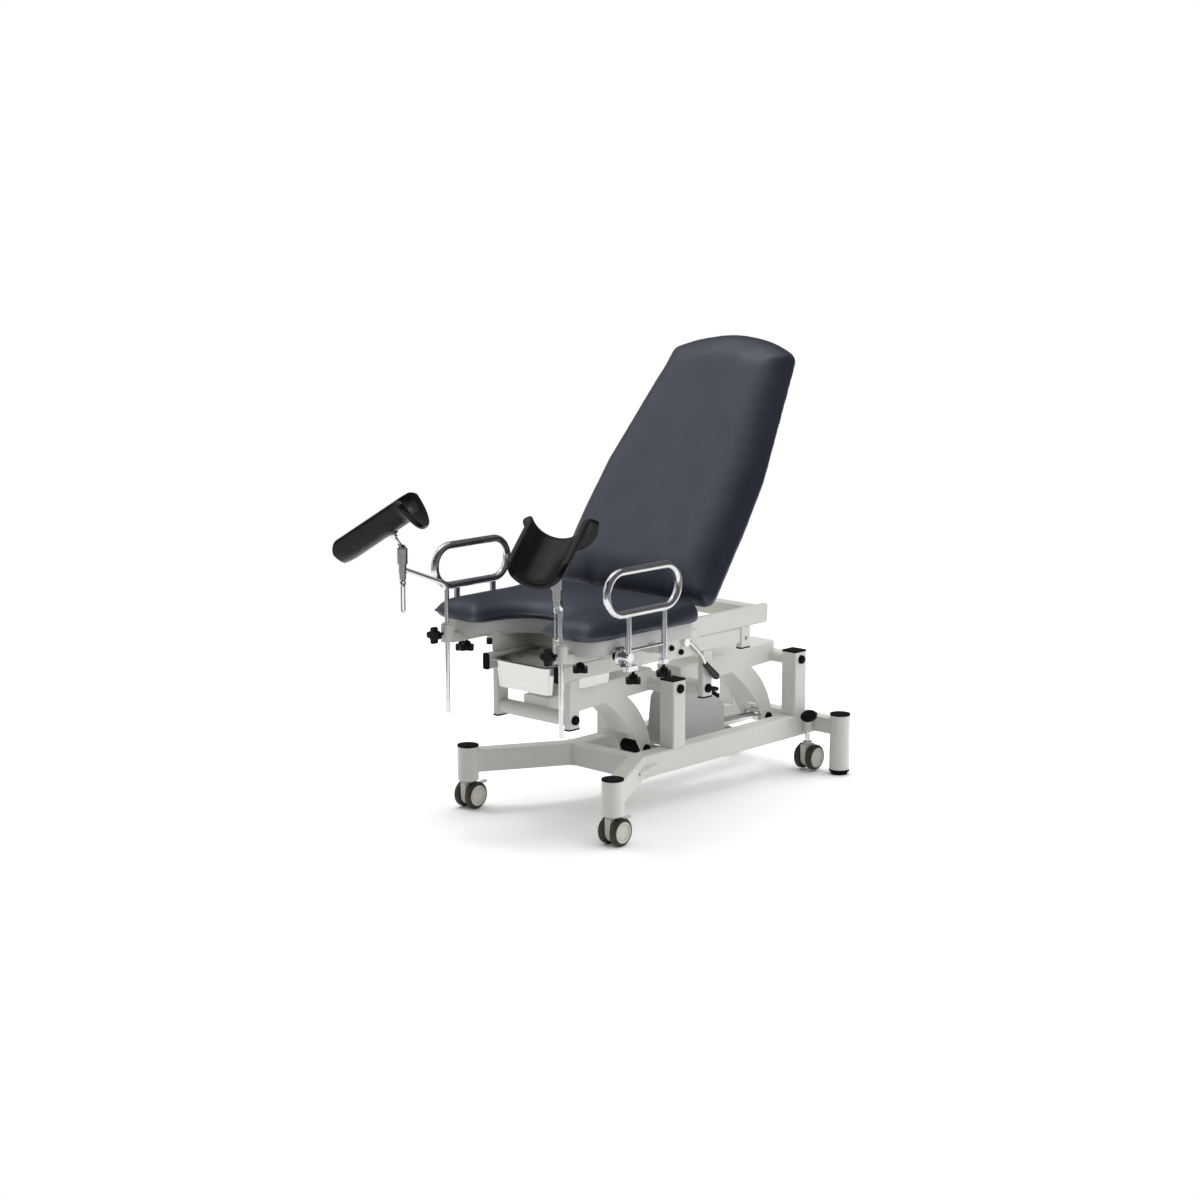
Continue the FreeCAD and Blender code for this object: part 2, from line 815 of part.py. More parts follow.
def lift_arm(pivot_y):
    """One lift arm: base tube, frame tube, beam and curved lever. The base pivot is at pivot_y."""
    upper_y = pivot_y - arm_reach
    base_half = rail_inner - face_gap
    upper_half = frame_inner - face_gap
    base_tube = cylinder(arm_tube_dia, (-base_half, pivot_y, pivot_height),
                         (base_half, pivot_y, pivot_height))
    upper_tube = cylinder(arm_tube_dia, (-upper_half, upper_y, upper_pivot_height),
                          (upper_half, upper_y, upper_pivot_height))
    beam = bar("y", (-beam_x, beam_x), (0, arm_length), around(beam_rise, beam_height))
    beam.rotate(ORIGIN, X_AXIS, degrees(atan2(arm_drop, arm_reach)))
    beam.translate(V(0, upper_y, upper_pivot_height))
    wire = lever_outline(pivot_y)
    lever = placed(Part.Face(wire).extrude(V(beam_width, 0, 0)), -beam_x, 0, 0)
    inside = beam_x - lever_wall
    hollow = placed(Part.Face(wire).extrude(V(2 * inside, 0, 0)), -inside, lever_wall * 1.2, lever_wall)
    mouth = box((-inside, inside), (pivot_y - arm_reach / 2, pivot_y + lever_boss_dia),
                (pivot_height - lever_drop - lever_boss_dia, pivot_height - lever_web_end))
    pin_y = pivot_y - lever_forward
    pin_z = pivot_height - lever_drop
    bosses = cylinder(lever_boss_dia, (-beam_x, pin_y, pin_z), (beam_x, pin_y, pin_z))
    lever = union(lever, bosses).cut(Part.makeCompound([hollow, mouth]))
    pin_hole = cylinder(lever_pin_dia + 2 * free_gap, (-beam_x - 1, pin_y, pin_z), (beam_x + 1, pin_y, pin_z))
    lever = lever.cut(pin_hole)
    bores = []
    for half, y, z in ((base_half, pivot_y, pivot_height), (upper_half, upper_y, upper_pivot_height)):
        deep = half - pivot_bolt_depth - face_gap - 1
        bores += pair(cylinder(pivot_bolt_dia + 2 * run_gap, (deep, y, z), (half + 1, y, z)))
    return union(beam, base_tube, upper_tube, lever).cut(Part.makeCompound(bores))


def front_stop_pin():
    """The pin in the front lever with its roller, which rests on the stop cross member."""
    y = front_pivot_y - lever_forward
    z = pivot_height - lever_drop
    inside = beam_x - lever_wall - face_gap
    roller = cylinder(stop_roller_dia, (-inside, y, z), (inside, y, z))
    half_bolt = bolt(lever_pin_dia, beam_x, (beam_x + face_gap, y, z))
    return union(roller, half_bolt, mirrored(half_bolt))


def rear_lever_pin():
    """The two short pins in the rear lever's walls, between which the actuator's eye runs."""
    y = rear_pivot_y - lever_forward
    z = pivot_height - lever_drop
    return pair(bolt(lever_pin_dia, lever_wall + face_gap, (beam_x + face_gap, y, z)))


def actuator_line():
    """Length and upward angle of the actuator from its trunnion to the rear lever pin at rest."""
    along = rear_pivot_y - lever_forward - actuator_pivot_y
    rise = pivot_height - lever_drop - actuator_pivot_height
    return sqrt(along ** 2 + rise ** 2), degrees(atan2(rise, along))


def on_actuator(shape):
    """A shape modelled along +Y from the trunnion, turned and moved to the actuator's place at rest."""
    angle = actuator_line()[1]
    return placed(turned(shape, X_AXIS, angle), 0, actuator_pivot_y, actuator_pivot_height)


def actuator_housing():
    """The moulded actuator housing, tall over the motor and lower towards the rod."""
    tail = actuator_length - actuator_front
    outline = [(-actuator_front, -actuator_bottom, 12), (tail, -actuator_bottom, 12),
               (tail, actuator_tail_top, 25), (actuator_length * 0.55, actuator_top * 0.9, 60),
               (-actuator_front * 0.4, actuator_top, 30)]
    half = actuator_width / 2
    levels = [(-half, actuator_round), (-half + actuator_round, 0), (half - actuator_round, 0),
              (half, actuator_round)]
    shell = crowned(outline, levels, in_side)
    pin_bore = cylinder(actuator_pin_dia + 2 * run_gap, (-half - 1, 0, 0), (half + 1, 0, 0))
    rod_bore = cylinder(rod_dia + 2 * run_gap, (0, tail - rod_bore_depth, 0), (0, tail + 1, 0))
    return on_actuator(shell.cut(pin_bore).cut(rod_bore))


def actuator_rod():
    """The push tube with its eye and the sleeve that runs between the rear lever's walls."""
    length = actuator_line()[0]
    tail = actuator_length - actuator_front
    tube = cylinder(rod_dia, (0, tail - rod_overlap, 0), (0, length - rod_eye_dia / 4, 0))
    half = beam_x - lever_wall - rod_eye_gap
    eye = cylinder(rod_eye_dia, (-half * 0.55, length, 0), (half * 0.55, length, 0))
    sleeve = cylinder(lever_pin_dia, (-half, length, 0), (half, length, 0))
    return on_actuator(union(tube, eye, sleeve))


def hanging_post(y):
    """The left post that hangs from the lift rail to a frame pivot."""
    bottom = upper_pivot_height - post_below_pivot
    return bar("z", (frame_inner, frame_x), around(y, post_depth), (bottom, lift_rail_bottom + 1))


def lift_frame():
    """The frame that the two arms lift: rails, hanging posts, cross members, tray runners and side plate."""
    rail_z = (lift_rail_bottom, lift_rail_top)
    rail = bar("y", (frame_inner, frame_x), (lift_rail_start, lift_rail_end), rail_z)
    posts = [hanging_post(upper_pivot_y), hanging_post(upper_pivot_y + pivot_spacing)]
    runner_end = upper_pivot_y + lift_cross_front
    runner = box((frame_inner - runner_width, frame_inner + 1), (upper_pivot_y - post_depth, runner_end),
                 (lift_rail_bottom + runner_height, lift_rail_bottom + runner_height + runner_thickness))
    inside = (-frame_inner - 1, frame_inner + 1)
    welded = [bar("x", inside, (upper_pivot_y + start, upper_pivot_y + start + cross_depth), rail_z)
              for start in (lift_cross_front, lift_cross_rear)]
    for shape in [rail, runner] + posts:
        welded += pair(shape)
    plate_y = (upper_pivot_y + side_plate_start, upper_pivot_y + side_plate_start + side_plate_length)
    plate_z = (lift_rail_bottom - side_plate_drop, lift_rail_bottom - side_plate_drop + side_plate_height)
    plate = bar("x", (frame_x, frame_x + side_plate_thickness), plate_y, plate_z)
    frame = union(*welded, plate)
    cuts = [cylinder(lever_shaft_dia + 2 * run_gap, (frame_x, lever_pivot_y, lever_pivot_z),
                     (frame_x + side_plate_thickness + 1, lever_pivot_y, lever_pivot_z))]
    for y in (upper_pivot_y, upper_pivot_y + pivot_spacing):
        cuts += pair(cylinder(pivot_bolt_dia + 2 * free_gap, (frame_inner - 1, y, upper_pivot_height),
                              (frame_x + 1, y, upper_pivot_height)))
    return frame.cut(Part.makeCompound(cuts))


def lift_frame_caps():
    """Plastic end caps of the lift rails, the hanging posts and the tail posts."""
    x = (frame_inner - cap_lip, frame_x + cap_lip)
    caps = pair(bar("y", x, (lift_rail_start - cap_thickness, lift_rail_start),
                    (lift_rail_bottom - cap_lip, lift_rail_top)))
    bottom = upper_pivot_height - post_below_pivot
    for y in (upper_pivot_y, upper_pivot_y + pivot_spacing):
        caps += pair(bar("z", x, around(y, post_depth + 2 * cap_lip), (bottom - cap_thickness, bottom)))
    tail_y = upper_pivot_y + tail_post_start + post_depth / 2
    tail_z = lift_rail_top - tail_post_height
    caps += pair(bar("z", x, around(tail_y, post_depth + 2 * cap_lip), (tail_z - cap_thickness, tail_z)))
    return caps


def pivot_bolts(face, ys, height):
    """Covered pivot bolts on both sides, their heads against a face."""
    bolts = []
    for y in ys:
        bolts += pair(bolt(pivot_bolt_dia, face[0] - face[1] + pivot_bolt_depth, (face[0], y, height)))
    return bolts


def side_plate_bolts():
    """Covered heads of the two bolts that hold the side plate beside the release lever."""
    face = frame_x + side_plate_thickness
    heads = []
    for back, rise in plate_bolts:
        y, z = lever_pivot_y + back, lever_pivot_z + rise
        low = (face, y, z)
        shoulder = (face + plate_bolt_length * 0.7, y, z)
        top = (face + plate_bolt_length, y, z)
        heads.append(union(cylinder(plate_bolt_dia, low, shoulder),
                           cone(plate_bolt_dia, plate_bolt_dia * 0.75, shoulder, top)))
    return heads


def seat_frame():
    """Seat rails, cross members, tail posts, backrest ears, seat risers and gas spring cheeks."""
    start = upper_pivot_y - seat_rail_front
    rail_y = (start, start + seat_rail_length)
    wall = seat_rail_wall
    rail = bar("y", (frame_inner, frame_x), rail_y, (lift_rail_top, seat_rail_top))
    hollow = bar("y", (frame_inner + wall, frame_x - wall), (rail_y[1] - seat_rail_open, rail_y[1] + 1),
                 (lift_rail_top + wall, seat_rail_top - wall), 2)
    rail = rail.cut(hollow)
    cross_z = (lift_rail_top + seat_cross_lift, lift_rail_top + seat_cross_lift + cross_height)
    inside = (-frame_inner - 1, frame_inner + 1)
    welded = [bar("x", inside, (upper_pivot_y + first, upper_pivot_y + first + cross_depth), cross_z)
              for first in (seat_cross_front, seat_cross_middle, seat_cross_rear)]
    tail_y = upper_pivot_y + tail_post_start
    tail_bottom = lift_rail_top - tail_post_height
    tail = bar("z", (frame_inner, frame_x), (tail_y, tail_y + post_depth), (tail_bottom, lift_rail_top + 1))
    hole_y = tail_y + post_depth / 2
    hole_z = tail_bottom + tail_hole_height
    tail = tail.cut(cylinder(tail_hole_dia, (frame_inner - 1, hole_y, hole_z), (frame_x + 1, hole_y, hole_z)))
    risers = [box((frame_inner, frame_x), (upper_pivot_y + first, upper_pivot_y + first + riser_length),
                  (seat_rail_top - 1, pan_top - pan_wall)) for first in riser_stations]
    ear_inner = hinge_x()[2]
    low = back_pivot_y - lug_radius
    high = back_pivot_y + lug_radius
    top = back_pivot_z + lug_radius
    ear = side_slab([(low, seat_rail_top - 1, 0), (high + 6, seat_rail_top - 1, 0),
                     (high, top, lug_radius - 1),
                     (low, top, lug_radius - 1)], (ear_inner, ear_inner + lug_thickness))
    ear = ear.cut(cylinder(back_pin_dia + 2 * run_gap, (frame_inner - 9, back_pivot_y, back_pivot_z),
                           (frame_x + 9, back_pivot_y, back_pivot_z)))
    cheek_inner = gas_eye_width / 2 + face_gap
    cross_rear = upper_pivot_y + seat_cross_middle + cross_depth
    cheek = side_slab([(cross_rear - 30, cross_z[0] + 8, 0), (gas_lower_y - 13, gas_lower_z - 13, 12),
                       (gas_lower_y + 13, gas_lower_z - 13, 12), (gas_lower_y + 13, gas_lower_z + 13, 12),
                       (cross_rear, cross_z[1] - 8, 0)], (cheek_inner, cheek_inner + cheek_thickness))
    edge = cheek_inner + cheek_thickness
    gas_pin = cylinder(gas_pin_dia, (-edge, gas_lower_y, gas_lower_z), (edge, gas_lower_y, gas_lower_z))
    for shape in [rail, tail, ear, cheek] + risers:
        welded += pair(shape)
    return union(*welded, gas_pin)


def seat_outline():
    """Plan of the seat with its front cut-out, counter-clockwise from the left front lobe."""
    half = seat_width / 2
    front = upper_pivot_y - seat_front
    rear = upper_pivot_y + seat_rear
    middle = (front + rear) / 2
    mouth = cutout_mouth / 2
    floor_half = cutout_floor / 2
    bottom = front + cutout_depth
    return [(half, front, seat_side_round), (half - seat_waist, middle, seat_waist_round),
            (half, rear, seat_rear_round),
            (-half, rear, seat_rear_round), (-half + seat_waist, middle, seat_waist_round),
            (-half, front, seat_side_round),
            (-mouth, front, lobe_round), (-floor_half, bottom, cutout_round),
            (floor_half, bottom, cutout_round), (mouth, front, lobe_round)]


def seat_cushion():
    """The padded seat: drawn in at the foot, full at mid height and crowned on top."""
    tall = seat_thickness
    levels = [(0, 8), (0.13, 1), (0.46, 0), (0.76, 5), (0.92, 16), (1, 34)]
    steps = [(cushion_bottom + share * tall, amount) for share, amount in levels]
    return crowned(seat_outline(), steps, in_plan)


def outrigger_ys():
    """Front and rear armrest outriggers along the chair."""
    return armrest_pivot_y, armrest_pivot_y + armrest_leg_gap


def leg_rod_y():
    """The leg holder rod along the chair."""
    return upper_pivot_y - leg_rod_front


def seat_pan():
    """The light sheet pan under the seat, notched over the rails, outriggers and clamp arms."""
    outline = inset(seat_outline(), pan_inset)
    inner = inset(seat_outline(), pan_inset + pan_wall)
    bottom = pan_top - pan_height
    pan = plan_slab(outline, (bottom, pan_top)).cut(plan_slab(inner, (bottom - 1, pan_top - pan_wall)))
    top = seat_rail_top + face_gap
    z = (bottom - 1, top)
    long = (-2 * wheel_base, 2 * wheel_base)
    notches = [box((frame_inner - face_gap, frame_x + face_gap), long, z)]
    for y in outrigger_ys():
        notches.append(box((frame_x, seat_width), around(y, outrigger_size + 2 * face_gap), z))
    notches.append(box(around(leg_rod_x, leg_clamp_arm + 2 * face_gap), (long[0], armrest_pivot_y), z))
    cuts = []
    for notch in notches:
        cuts += pair(notch)
    return pan.cut(Part.makeCompound(cuts))


def tray():
    """The stainless debris tray: tapered pan with rounded corners and a rim that hangs on the runners."""
    front = upper_pivot_y - tray_front
    y = (front, front + tray_length)
    rim_bottom = lift_rail_bottom + runner_height + runner_thickness + face_gap
    bottom = rim_bottom - tray_depth

    def ring(level, amount):
        x = (-tray_width / 2 + amount, tray_width / 2 - amount)
        outline = rectangle(x, (y[0] + amount, y[1] - amount), tray_corner - amount)
        return rounded_wire(outline, in_plan(level))

    outer = Part.makeLoft([ring(bottom, tray_taper), ring(rim_bottom + tray_wall, 0)], True, True)
    inner = Part.makeLoft([ring(bottom + tray_wall, tray_taper + tray_wall), ring(rim_bottom + 2, tray_wall)],
                          True, True)
    rim_x = (-tray_width / 2 - tray_rim, tray_width / 2 + tray_rim)
    rim = plan_slab(rectangle(rim_x, (y[0] - tray_rim, y[1]), tray_corner),
                    (rim_bottom, rim_bottom + tray_wall))
    return union(outer, rim).cut(inner)


def leg_clamps():
    """The two clamp arms on the front outriggers, each with the socket of a leg holder rod."""
    y = leg_rod_y()
    z = (leg_clamp_bottom, leg_clamp_bottom + leg_clamp_height)
    arm_top = seat_rail_top
    arm_z = (arm_top - leg_clamp_arm, arm_top)
    arm_y = (y + leg_clamp_dia / 2 - 5, outrigger_ys()[0] - outrigger_size / 2)
    arm = bar("y", around(leg_rod_x, leg_clamp_arm), arm_y, arm_z)
    socket = cylinder(leg_clamp_dia, (leg_rod_x, y, z[0]), (leg_rod_x, y, z[1]))
    bore = cylinder(leg_bush_dia + 2 * run_gap, (leg_rod_x, y, z[0] - 1), (leg_rod_x, y, z[1] + 1))
    knob_y, knob_z = clamp_knob_place()
    knob_hole = cylinder(knob_stud_dia + 2 * free_gap, (leg_rod_x, y - leg_clamp_dia, knob_z),
                         (leg_rod_x, y, knob_z))
    under_y = arm_knob_y()
    under_hole = cylinder(knob_stud_dia + 2 * free_gap, (leg_rod_x, under_y, arm_z[0] - 1),
                          (leg_rod_x, under_y, arm_z[0] + knob_stud_length))
    return pair(union(arm, socket).cut(Part.makeCompound([bore, knob_hole, under_hole])))


def clamp_knob_place():
    """Place along the chair and height of the clamp knob's star face."""
    stud_end = leg_rod_y() - leg_bush_dia / 2 - 2 * free_gap - run_gap
    return stud_end - knob_stud_length - knob_height, leg_clamp_bottom + leg_clamp_height / 2


def arm_knob_y():
    """The knob under the clamp arm, midway along it."""
    return (leg_rod_y() + leg_clamp_dia / 2 + outrigger_ys()[0] - outrigger_size / 2) / 2


def leg_clamp_knob():
    """The star knob that clamps the leg holder rod, facing the foot end."""
    y, z = clamp_knob_place()
    return placed(turned(star_knob(), X_AXIS, -90), leg_rod_x, y, z)


def clamp_arm_knob():
    """The star knob under the clamp arm."""
    top = seat_rail_top - leg_clamp_arm
    reach = knob_height + knob_stud_length * 0.6
    return placed(star_knob(), leg_rod_x, arm_knob_y(), top - reach + knob_stud_length * 0.3)


def leg_bush():
    """The flanged plastic bush in the clamp socket, which lets the rod swivel."""
    y = leg_rod_y()
    top = leg_clamp_bottom + leg_clamp_height + face_gap
    sleeve = cylinder(leg_bush_dia, (leg_rod_x, y, leg_clamp_bottom), (leg_rod_x, y, top + 1))
    flange = cylinder(leg_bush_flange, (leg_rod_x, y, top), (leg_rod_x, y, top + leg_bush_lip))
    bore = cylinder(leg_rod_dia + 2 * run_gap, (leg_rod_x, y, leg_clamp_bottom - 1),
                    (leg_rod_x, y, top + leg_bush_lip + 1))
    return union(sleeve, flange).cut(bore)


def head_place():
    """The swivel axis of the left leg holder's head and the middle height of its barrel."""
    return leg_rod_x + leg_arm_out, leg_rod_y() - leg_arm_forward, leg_bend_height + leg_arm_rise


def leg_rod():
    """The bent chrome rod with the barrel that carries the head."""
    x, y, z = head_place()
    foot = V(leg_rod_x, leg_rod_y(), leg_rod_bottom)
    corner = V(leg_rod_x, leg_rod_y(), leg_bend_height)
    tip = V(x, y, z)
    along = (tip - corner).normalize()
    half = (V(0, 0, -1)).getAngle(along) / 2
    reach = leg_bend_radius / tan(half)
    first = corner - V(0, 0, reach)
    last = corner + along * reach
    middle = corner + (along - V(0, 0, 1)).normalize() * (leg_bend_radius / sin(half) - leg_bend_radius)
    path = Part.Wire([Part.LineSegment(foot, first).toShape(), Part.Arc(first, middle, last).toShape(),
                      Part.LineSegment(last, tip).toShape()])
    circle = Part.Wire([Part.Circle(foot, Z_AXIS, leg_rod_dia / 2).toShape()])
    rod = path.makePipeShell([circle], True, False)
    low = z - leg_barrel_height / 2
    high = z + leg_barrel_height / 2
    barrel = cylinder(leg_barrel_dia, (x, y, low), (x, y, high))
    bore = cylinder(leg_head_shaft + 2 * run_gap, (x, y, low - 1), (x, y, high + 1))
    return union(rod, barrel).cut(bore)


def ball_height():
    """Height of the ball joint's centre, at the top of the head's collar."""
    return head_place()[2] + leg_barrel_height / 2 + face_gap + leg_collar_height


def eye_height():
    """Height of the eye in the bottom of the head."""
    return head_place()[2] - leg_barrel_height / 2 - face_gap - leg_nut_height - leg_eye_drop


def leg_head():
    """The swivel head: collar with its ball cup, shaft, nut and eye."""
    x, y, z = head_place()
    collar_bottom = z + leg_barrel_height / 2 + face_gap
    nut_top = z - leg_barrel_height / 2 - face_gap
    collar = cylinder(leg_collar_dia, (x, y, collar_bottom), (x, y, ball_height()))
    shaft = cylinder(leg_head_shaft, (x, y, nut_top - 1), (x, y, collar_bottom + 1))
    nut = cylinder(leg_nut_dia, (x, y, nut_top - leg_nut_height), (x, y, nut_top))
    eye = cylinder(leg_eye_dia, (x - leg_eye_thickness / 2, y, eye_height()),
                   (x + leg_eye_thickness / 2, y, eye_height()))
    stalk = box(around(x, leg_eye_thickness), around(y, leg_eye_dia * 0.6),
                (eye_height() + leg_eye_hole / 2 + 1, nut_top - 1))
    hole = cylinder(leg_eye_hole, (x - leg_eye_dia, y, eye_height()), (x + leg_eye_dia, y, eye_height()))
    cup = Part.makeSphere(leg_ball_dia / 2 + face_gap, V(x, y, ball_height()))
    return union(collar, shaft, nut, eye.cut(hole), stalk).cut(cup)


def ring_path(width, length, tube):
    """A closed stadium of round tube standing in X and Z about the origin."""
    bend = (width - tube) / 2
    straight = length / 2 - width / 2
    section = Part.Face(Part.Wire([Part.Circle(V(bend, 0, straight), Z_AXIS, tube / 2).toShape()]))
    top = section.revolve(V(0, 0, straight), V(0, -1, 0), 180)
    bottom = top.mirror(ORIGIN, Z_AXIS)
    legs = [cylinder(tube, (side * bend, 0, -straight), (side * bend, 0, straight)) for side in (-1, 1)]
    return union(top, bottom, *legs)


def leg_handle():
    """The loop handle that hangs in the head's eye."""
    x, y, z = head_place()
    top = eye_height() - leg_eye_hole / 2 + handle_wire + handle_lift
    return placed(ring_path(handle_width, handle_length, handle_wire), x, y, top - handle_length / 2)


def trough_profile():
    """Wall of the crutch along its length and outwards, with the knee end turned out into a lip."""
    r = crutch_radius
    inner = r - crutch_wall
    toe, knee = -crutch_lower, crutch_upper
    bend = knee - crutch_flare_length
    half = crutch_wall / 2
    tip = r + crutch_flare

    def point(along, out):
        return V(0, along, out)

    def line(a, b):
        return Part.LineSegment(a, b).toShape()

    def arc(a, b, c):
        return Part.Arc(a, b, c).toShape()

    toe_in = point(toe + half, inner - crutch_toe_draw)
    toe_out = point(toe + half, r - crutch_toe_draw)
    draw_in = point(toe + crutch_toe_length, inner)
    draw_out = point(toe + crutch_toe_length, r)
    lip_out = point(knee - crutch_wall, tip - half)
    lip_in = point(knee, tip - half)
    edges = [line(toe_out, draw_out), line(draw_out, point(bend, r)),
             arc(point(bend, r), point(knee - crutch_wall - crutch_flare_length * 0.17,
                                       r + crutch_flare * 0.24), lip_out),
             arc(lip_out, point(knee - half, tip), lip_in),
             arc(lip_in, point(knee - crutch_flare_length * 0.25, r - crutch_wall * 0.3), point(bend, inner)),
             line(point(bend, inner), draw_in), line(draw_in, toe_in),
             arc(toe_in, point(toe, r - crutch_toe_draw - half), toe_out)]
    return Part.Face(Part.Wire(edges))


def leg_crutch(heading, slope):
    """The padded trough for the calf on its ball stem, its knee end turned outwards into a lip."""
    profile = placed(turned(trough_profile(), Y_AXIS, 180 - crutch_spread), 0, 0, crutch_radius)
    trough = profile.revolve(V(0, 0, crutch_radius), Y_AXIS, 2 * crutch_spread)
    wide = 2 * (crutch_radius + crutch_flare)
    below = -2 * crutch_flare
    side = side_slab([(-crutch_lower - 1, below, 0), (crutch_upper + 1, below, 0),
                      (crutch_upper + 1, crutch_depth, crutch_knee_round),
                      (-crutch_lower - 1, crutch_depth, crutch_toe_round)], (-wide, wide))
    trough = trough.common(side)
    ball = Part.makeSphere(leg_ball_dia / 2, V(0, 0, -leg_stem_length))
    stem = cylinder(leg_stem_dia, (0, 0, -leg_stem_length), (0, 0, crutch_wall / 2))
    x, y, z = head_place()
    crutch = placed(union(trough, stem, ball), 0, 0, leg_stem_length)
    crutch = turned(crutch, X_AXIS, slope)
    crutch = turned(crutch, Z_AXIS, heading)
    return placed(crutch, x, y, ball_height())


def armrest_mounts():
    """Front outriggers with the armrest studs, and rear outriggers with the leg saddles."""
    z = (seat_rail_top - outrigger_size, seat_rail_top)
    front, rear = outrigger_ys()
    arm = bar("x", (frame_x, outrigger_end), around(front, outrigger_size), z)
    boss_end = armrest_x - face_gap
    stud = cylinder(armrest_stud_dia, (outrigger_end - 5, front, armrest_pivot_z),
                    (boss_end, front, armrest_pivot_z))
    saddle_end = armrest_x - armrest_tube / 2 - face_gap
    rear_arm_bar = bar("x", (frame_x, saddle_start + 1), around(rear, outrigger_size), z)
    saddle = bar("x", (saddle_start, saddle_end), around(rear, outrigger_size * 0.8),
                 (z[0] + 3, z[1] - 3), 3)
    return pair(union(arm, stud)) + pair(union(rear_arm_bar, saddle))


def armrest():
    """The left armrest: loop, two legs, rung, pivot disc and two foot blocks."""
    front, rear = outrigger_ys()
    loop = turned(turned(ring_path(armrest_height, armrest_length, armrest_tube), Y_AXIS, 90), Z_AXIS, 90)
    loop = placed(loop, armrest_x, armrest_centre_y, armrest_centre_z)
    loop_bottom = armrest_centre_z - armrest_height / 2 + armrest_tube / 2
    legs = [cylinder(armrest_leg_dia, (armrest_x, y, armrest_foot_z), (armrest_x, y, loop_bottom))
            for y in (front, rear)]
    rung_z = armrest_pivot_z + armrest_rung_rise + armrest_boss_dia / 2
    rung = cylinder(armrest_rung_dia, (armrest_x, front, rung_z), (armrest_x, rear, rung_z))
    disc_end = armrest_x - armrest_leg_dia / 2 - 4
    disc = cylinder(armrest_disc_dia, (disc_end - armrest_disc_thickness, front, armrest_pivot_z),
                    (disc_end, front, armrest_pivot_z))
    boss = cylinder(armrest_boss_dia, (disc_end - 1, front, armrest_pivot_z),
                    (armrest_x + armrest_leg_dia / 2, front, armrest_pivot_z))
    blocks = []
    for y, back in ((front, front_foot_back), (rear, 0)):
        blocks.append(bar("z", around(armrest_x, foot_block_width), (y - 12, y + 12 + back),
                          (armrest_foot_z - foot_block_height, armrest_foot_z + 1), 3))
    bore_start = disc_end - armrest_disc_thickness - 1
    bore = cylinder(armrest_stud_dia + 2 * run_gap, (bore_start, front, armrest_pivot_z),
                    (armrest_x, front, armrest_pivot_z))
    holes = [cylinder(knob_stud_dia + 2 * free_gap, (armrest_x, y, armrest_foot_z - foot_block_height - 1),
                      (armrest_x, y, armrest_foot_z - foot_block_height + knob_stud_length * 0.6))
             for y in foot_knob_ys()]
    return union(loop, rung, disc, boss, *legs, *blocks).cut(Part.makeCompound([bore] + holes))


def foot_knob_ys():
    """The knobs under the armrest's front and rear foot blocks."""
    front, rear = outrigger_ys()
    return front + front_foot_back, rear


def armrest_foot_knob(y):
    """A star knob under one foot block."""
    bottom = armrest_foot_z - foot_block_height
    return placed(star_knob(), armrest_x, y, bottom - knob_height - knob_stud_length * 0.5)


def armrest_pivot_knob():
    """The star knob on the armrest stud, its star towards the disc."""
    disc_face = armrest_x - armrest_leg_dia / 2 - 4 - armrest_disc_thickness
    knob = star_knob(bore=armrest_stud_dia + 2 * run_gap)
    return placed(turned(knob, Y_AXIS, -90), disc_face - face_gap, armrest_pivot_y, armrest_pivot_z)


def on_backrest(shape):
    """A shape modelled lying flat, Y along the back from its pivot, turned to the rest angle."""
    return placed(turned(shape, X_AXIS, back_angle), 0, back_pivot_y, back_pivot_z)


def back_outline():
    """Outline of the backrest seen from the front, lying flat, counter-clockwise."""
    bottom = back_bottom_width / 2
    kink = back_kink_width / 2
    shoulder = back_shoulder_width / 2
    right = [(bottom, back_start, back_bottom_round), (kink, back_kink, back_kink_round),
             (shoulder, back_shoulder, back_shoulder_round)]
    left = [(-x, y, radius) for x, y, radius in reversed(right)]
    return right + [(0, back_apex, back_apex_round)] + left


def hinge_x():
    """Across the chair: a hinge lug's inner and outer faces, the ear's inner face and the pin's end."""
    ear_inner = frame_inner + ear_offset + lug_thickness / 4
    lug_outer = ear_inner - face_gap
    return lug_outer - lug_thickness, lug_outer, ear_inner, ear_inner + lug_thickness + 4


def backrest_cushion():
    """The padded back: drawn in at the board, crowned in front, with pockets behind for the hinge lugs."""
    base = -back_underside + seat_gap
    levels = [(0, 10), (0.15, 1), (0.5, 0), (0.78, 5), (0.93, 16), (1, 34)]
    steps = [(base + share * back_thickness, amount) for share, amount in levels]
    pad = crowned(back_outline(), steps, in_plan)
    lug_inner, _, _, pin_end = hinge_x()
    top = lug_radius + lug_pocket
    pocket = side_slab([(-top, base - 1, 0), (lug_radius + 17 + lug_pocket, base - 1, 0),
                        (top, top, lug_pocket), (-top, top, 0)],
                       (lug_inner - lug_pocket, pin_end + lug_pocket))
    return on_backrest(pad.cut(union(*pair(pocket))))


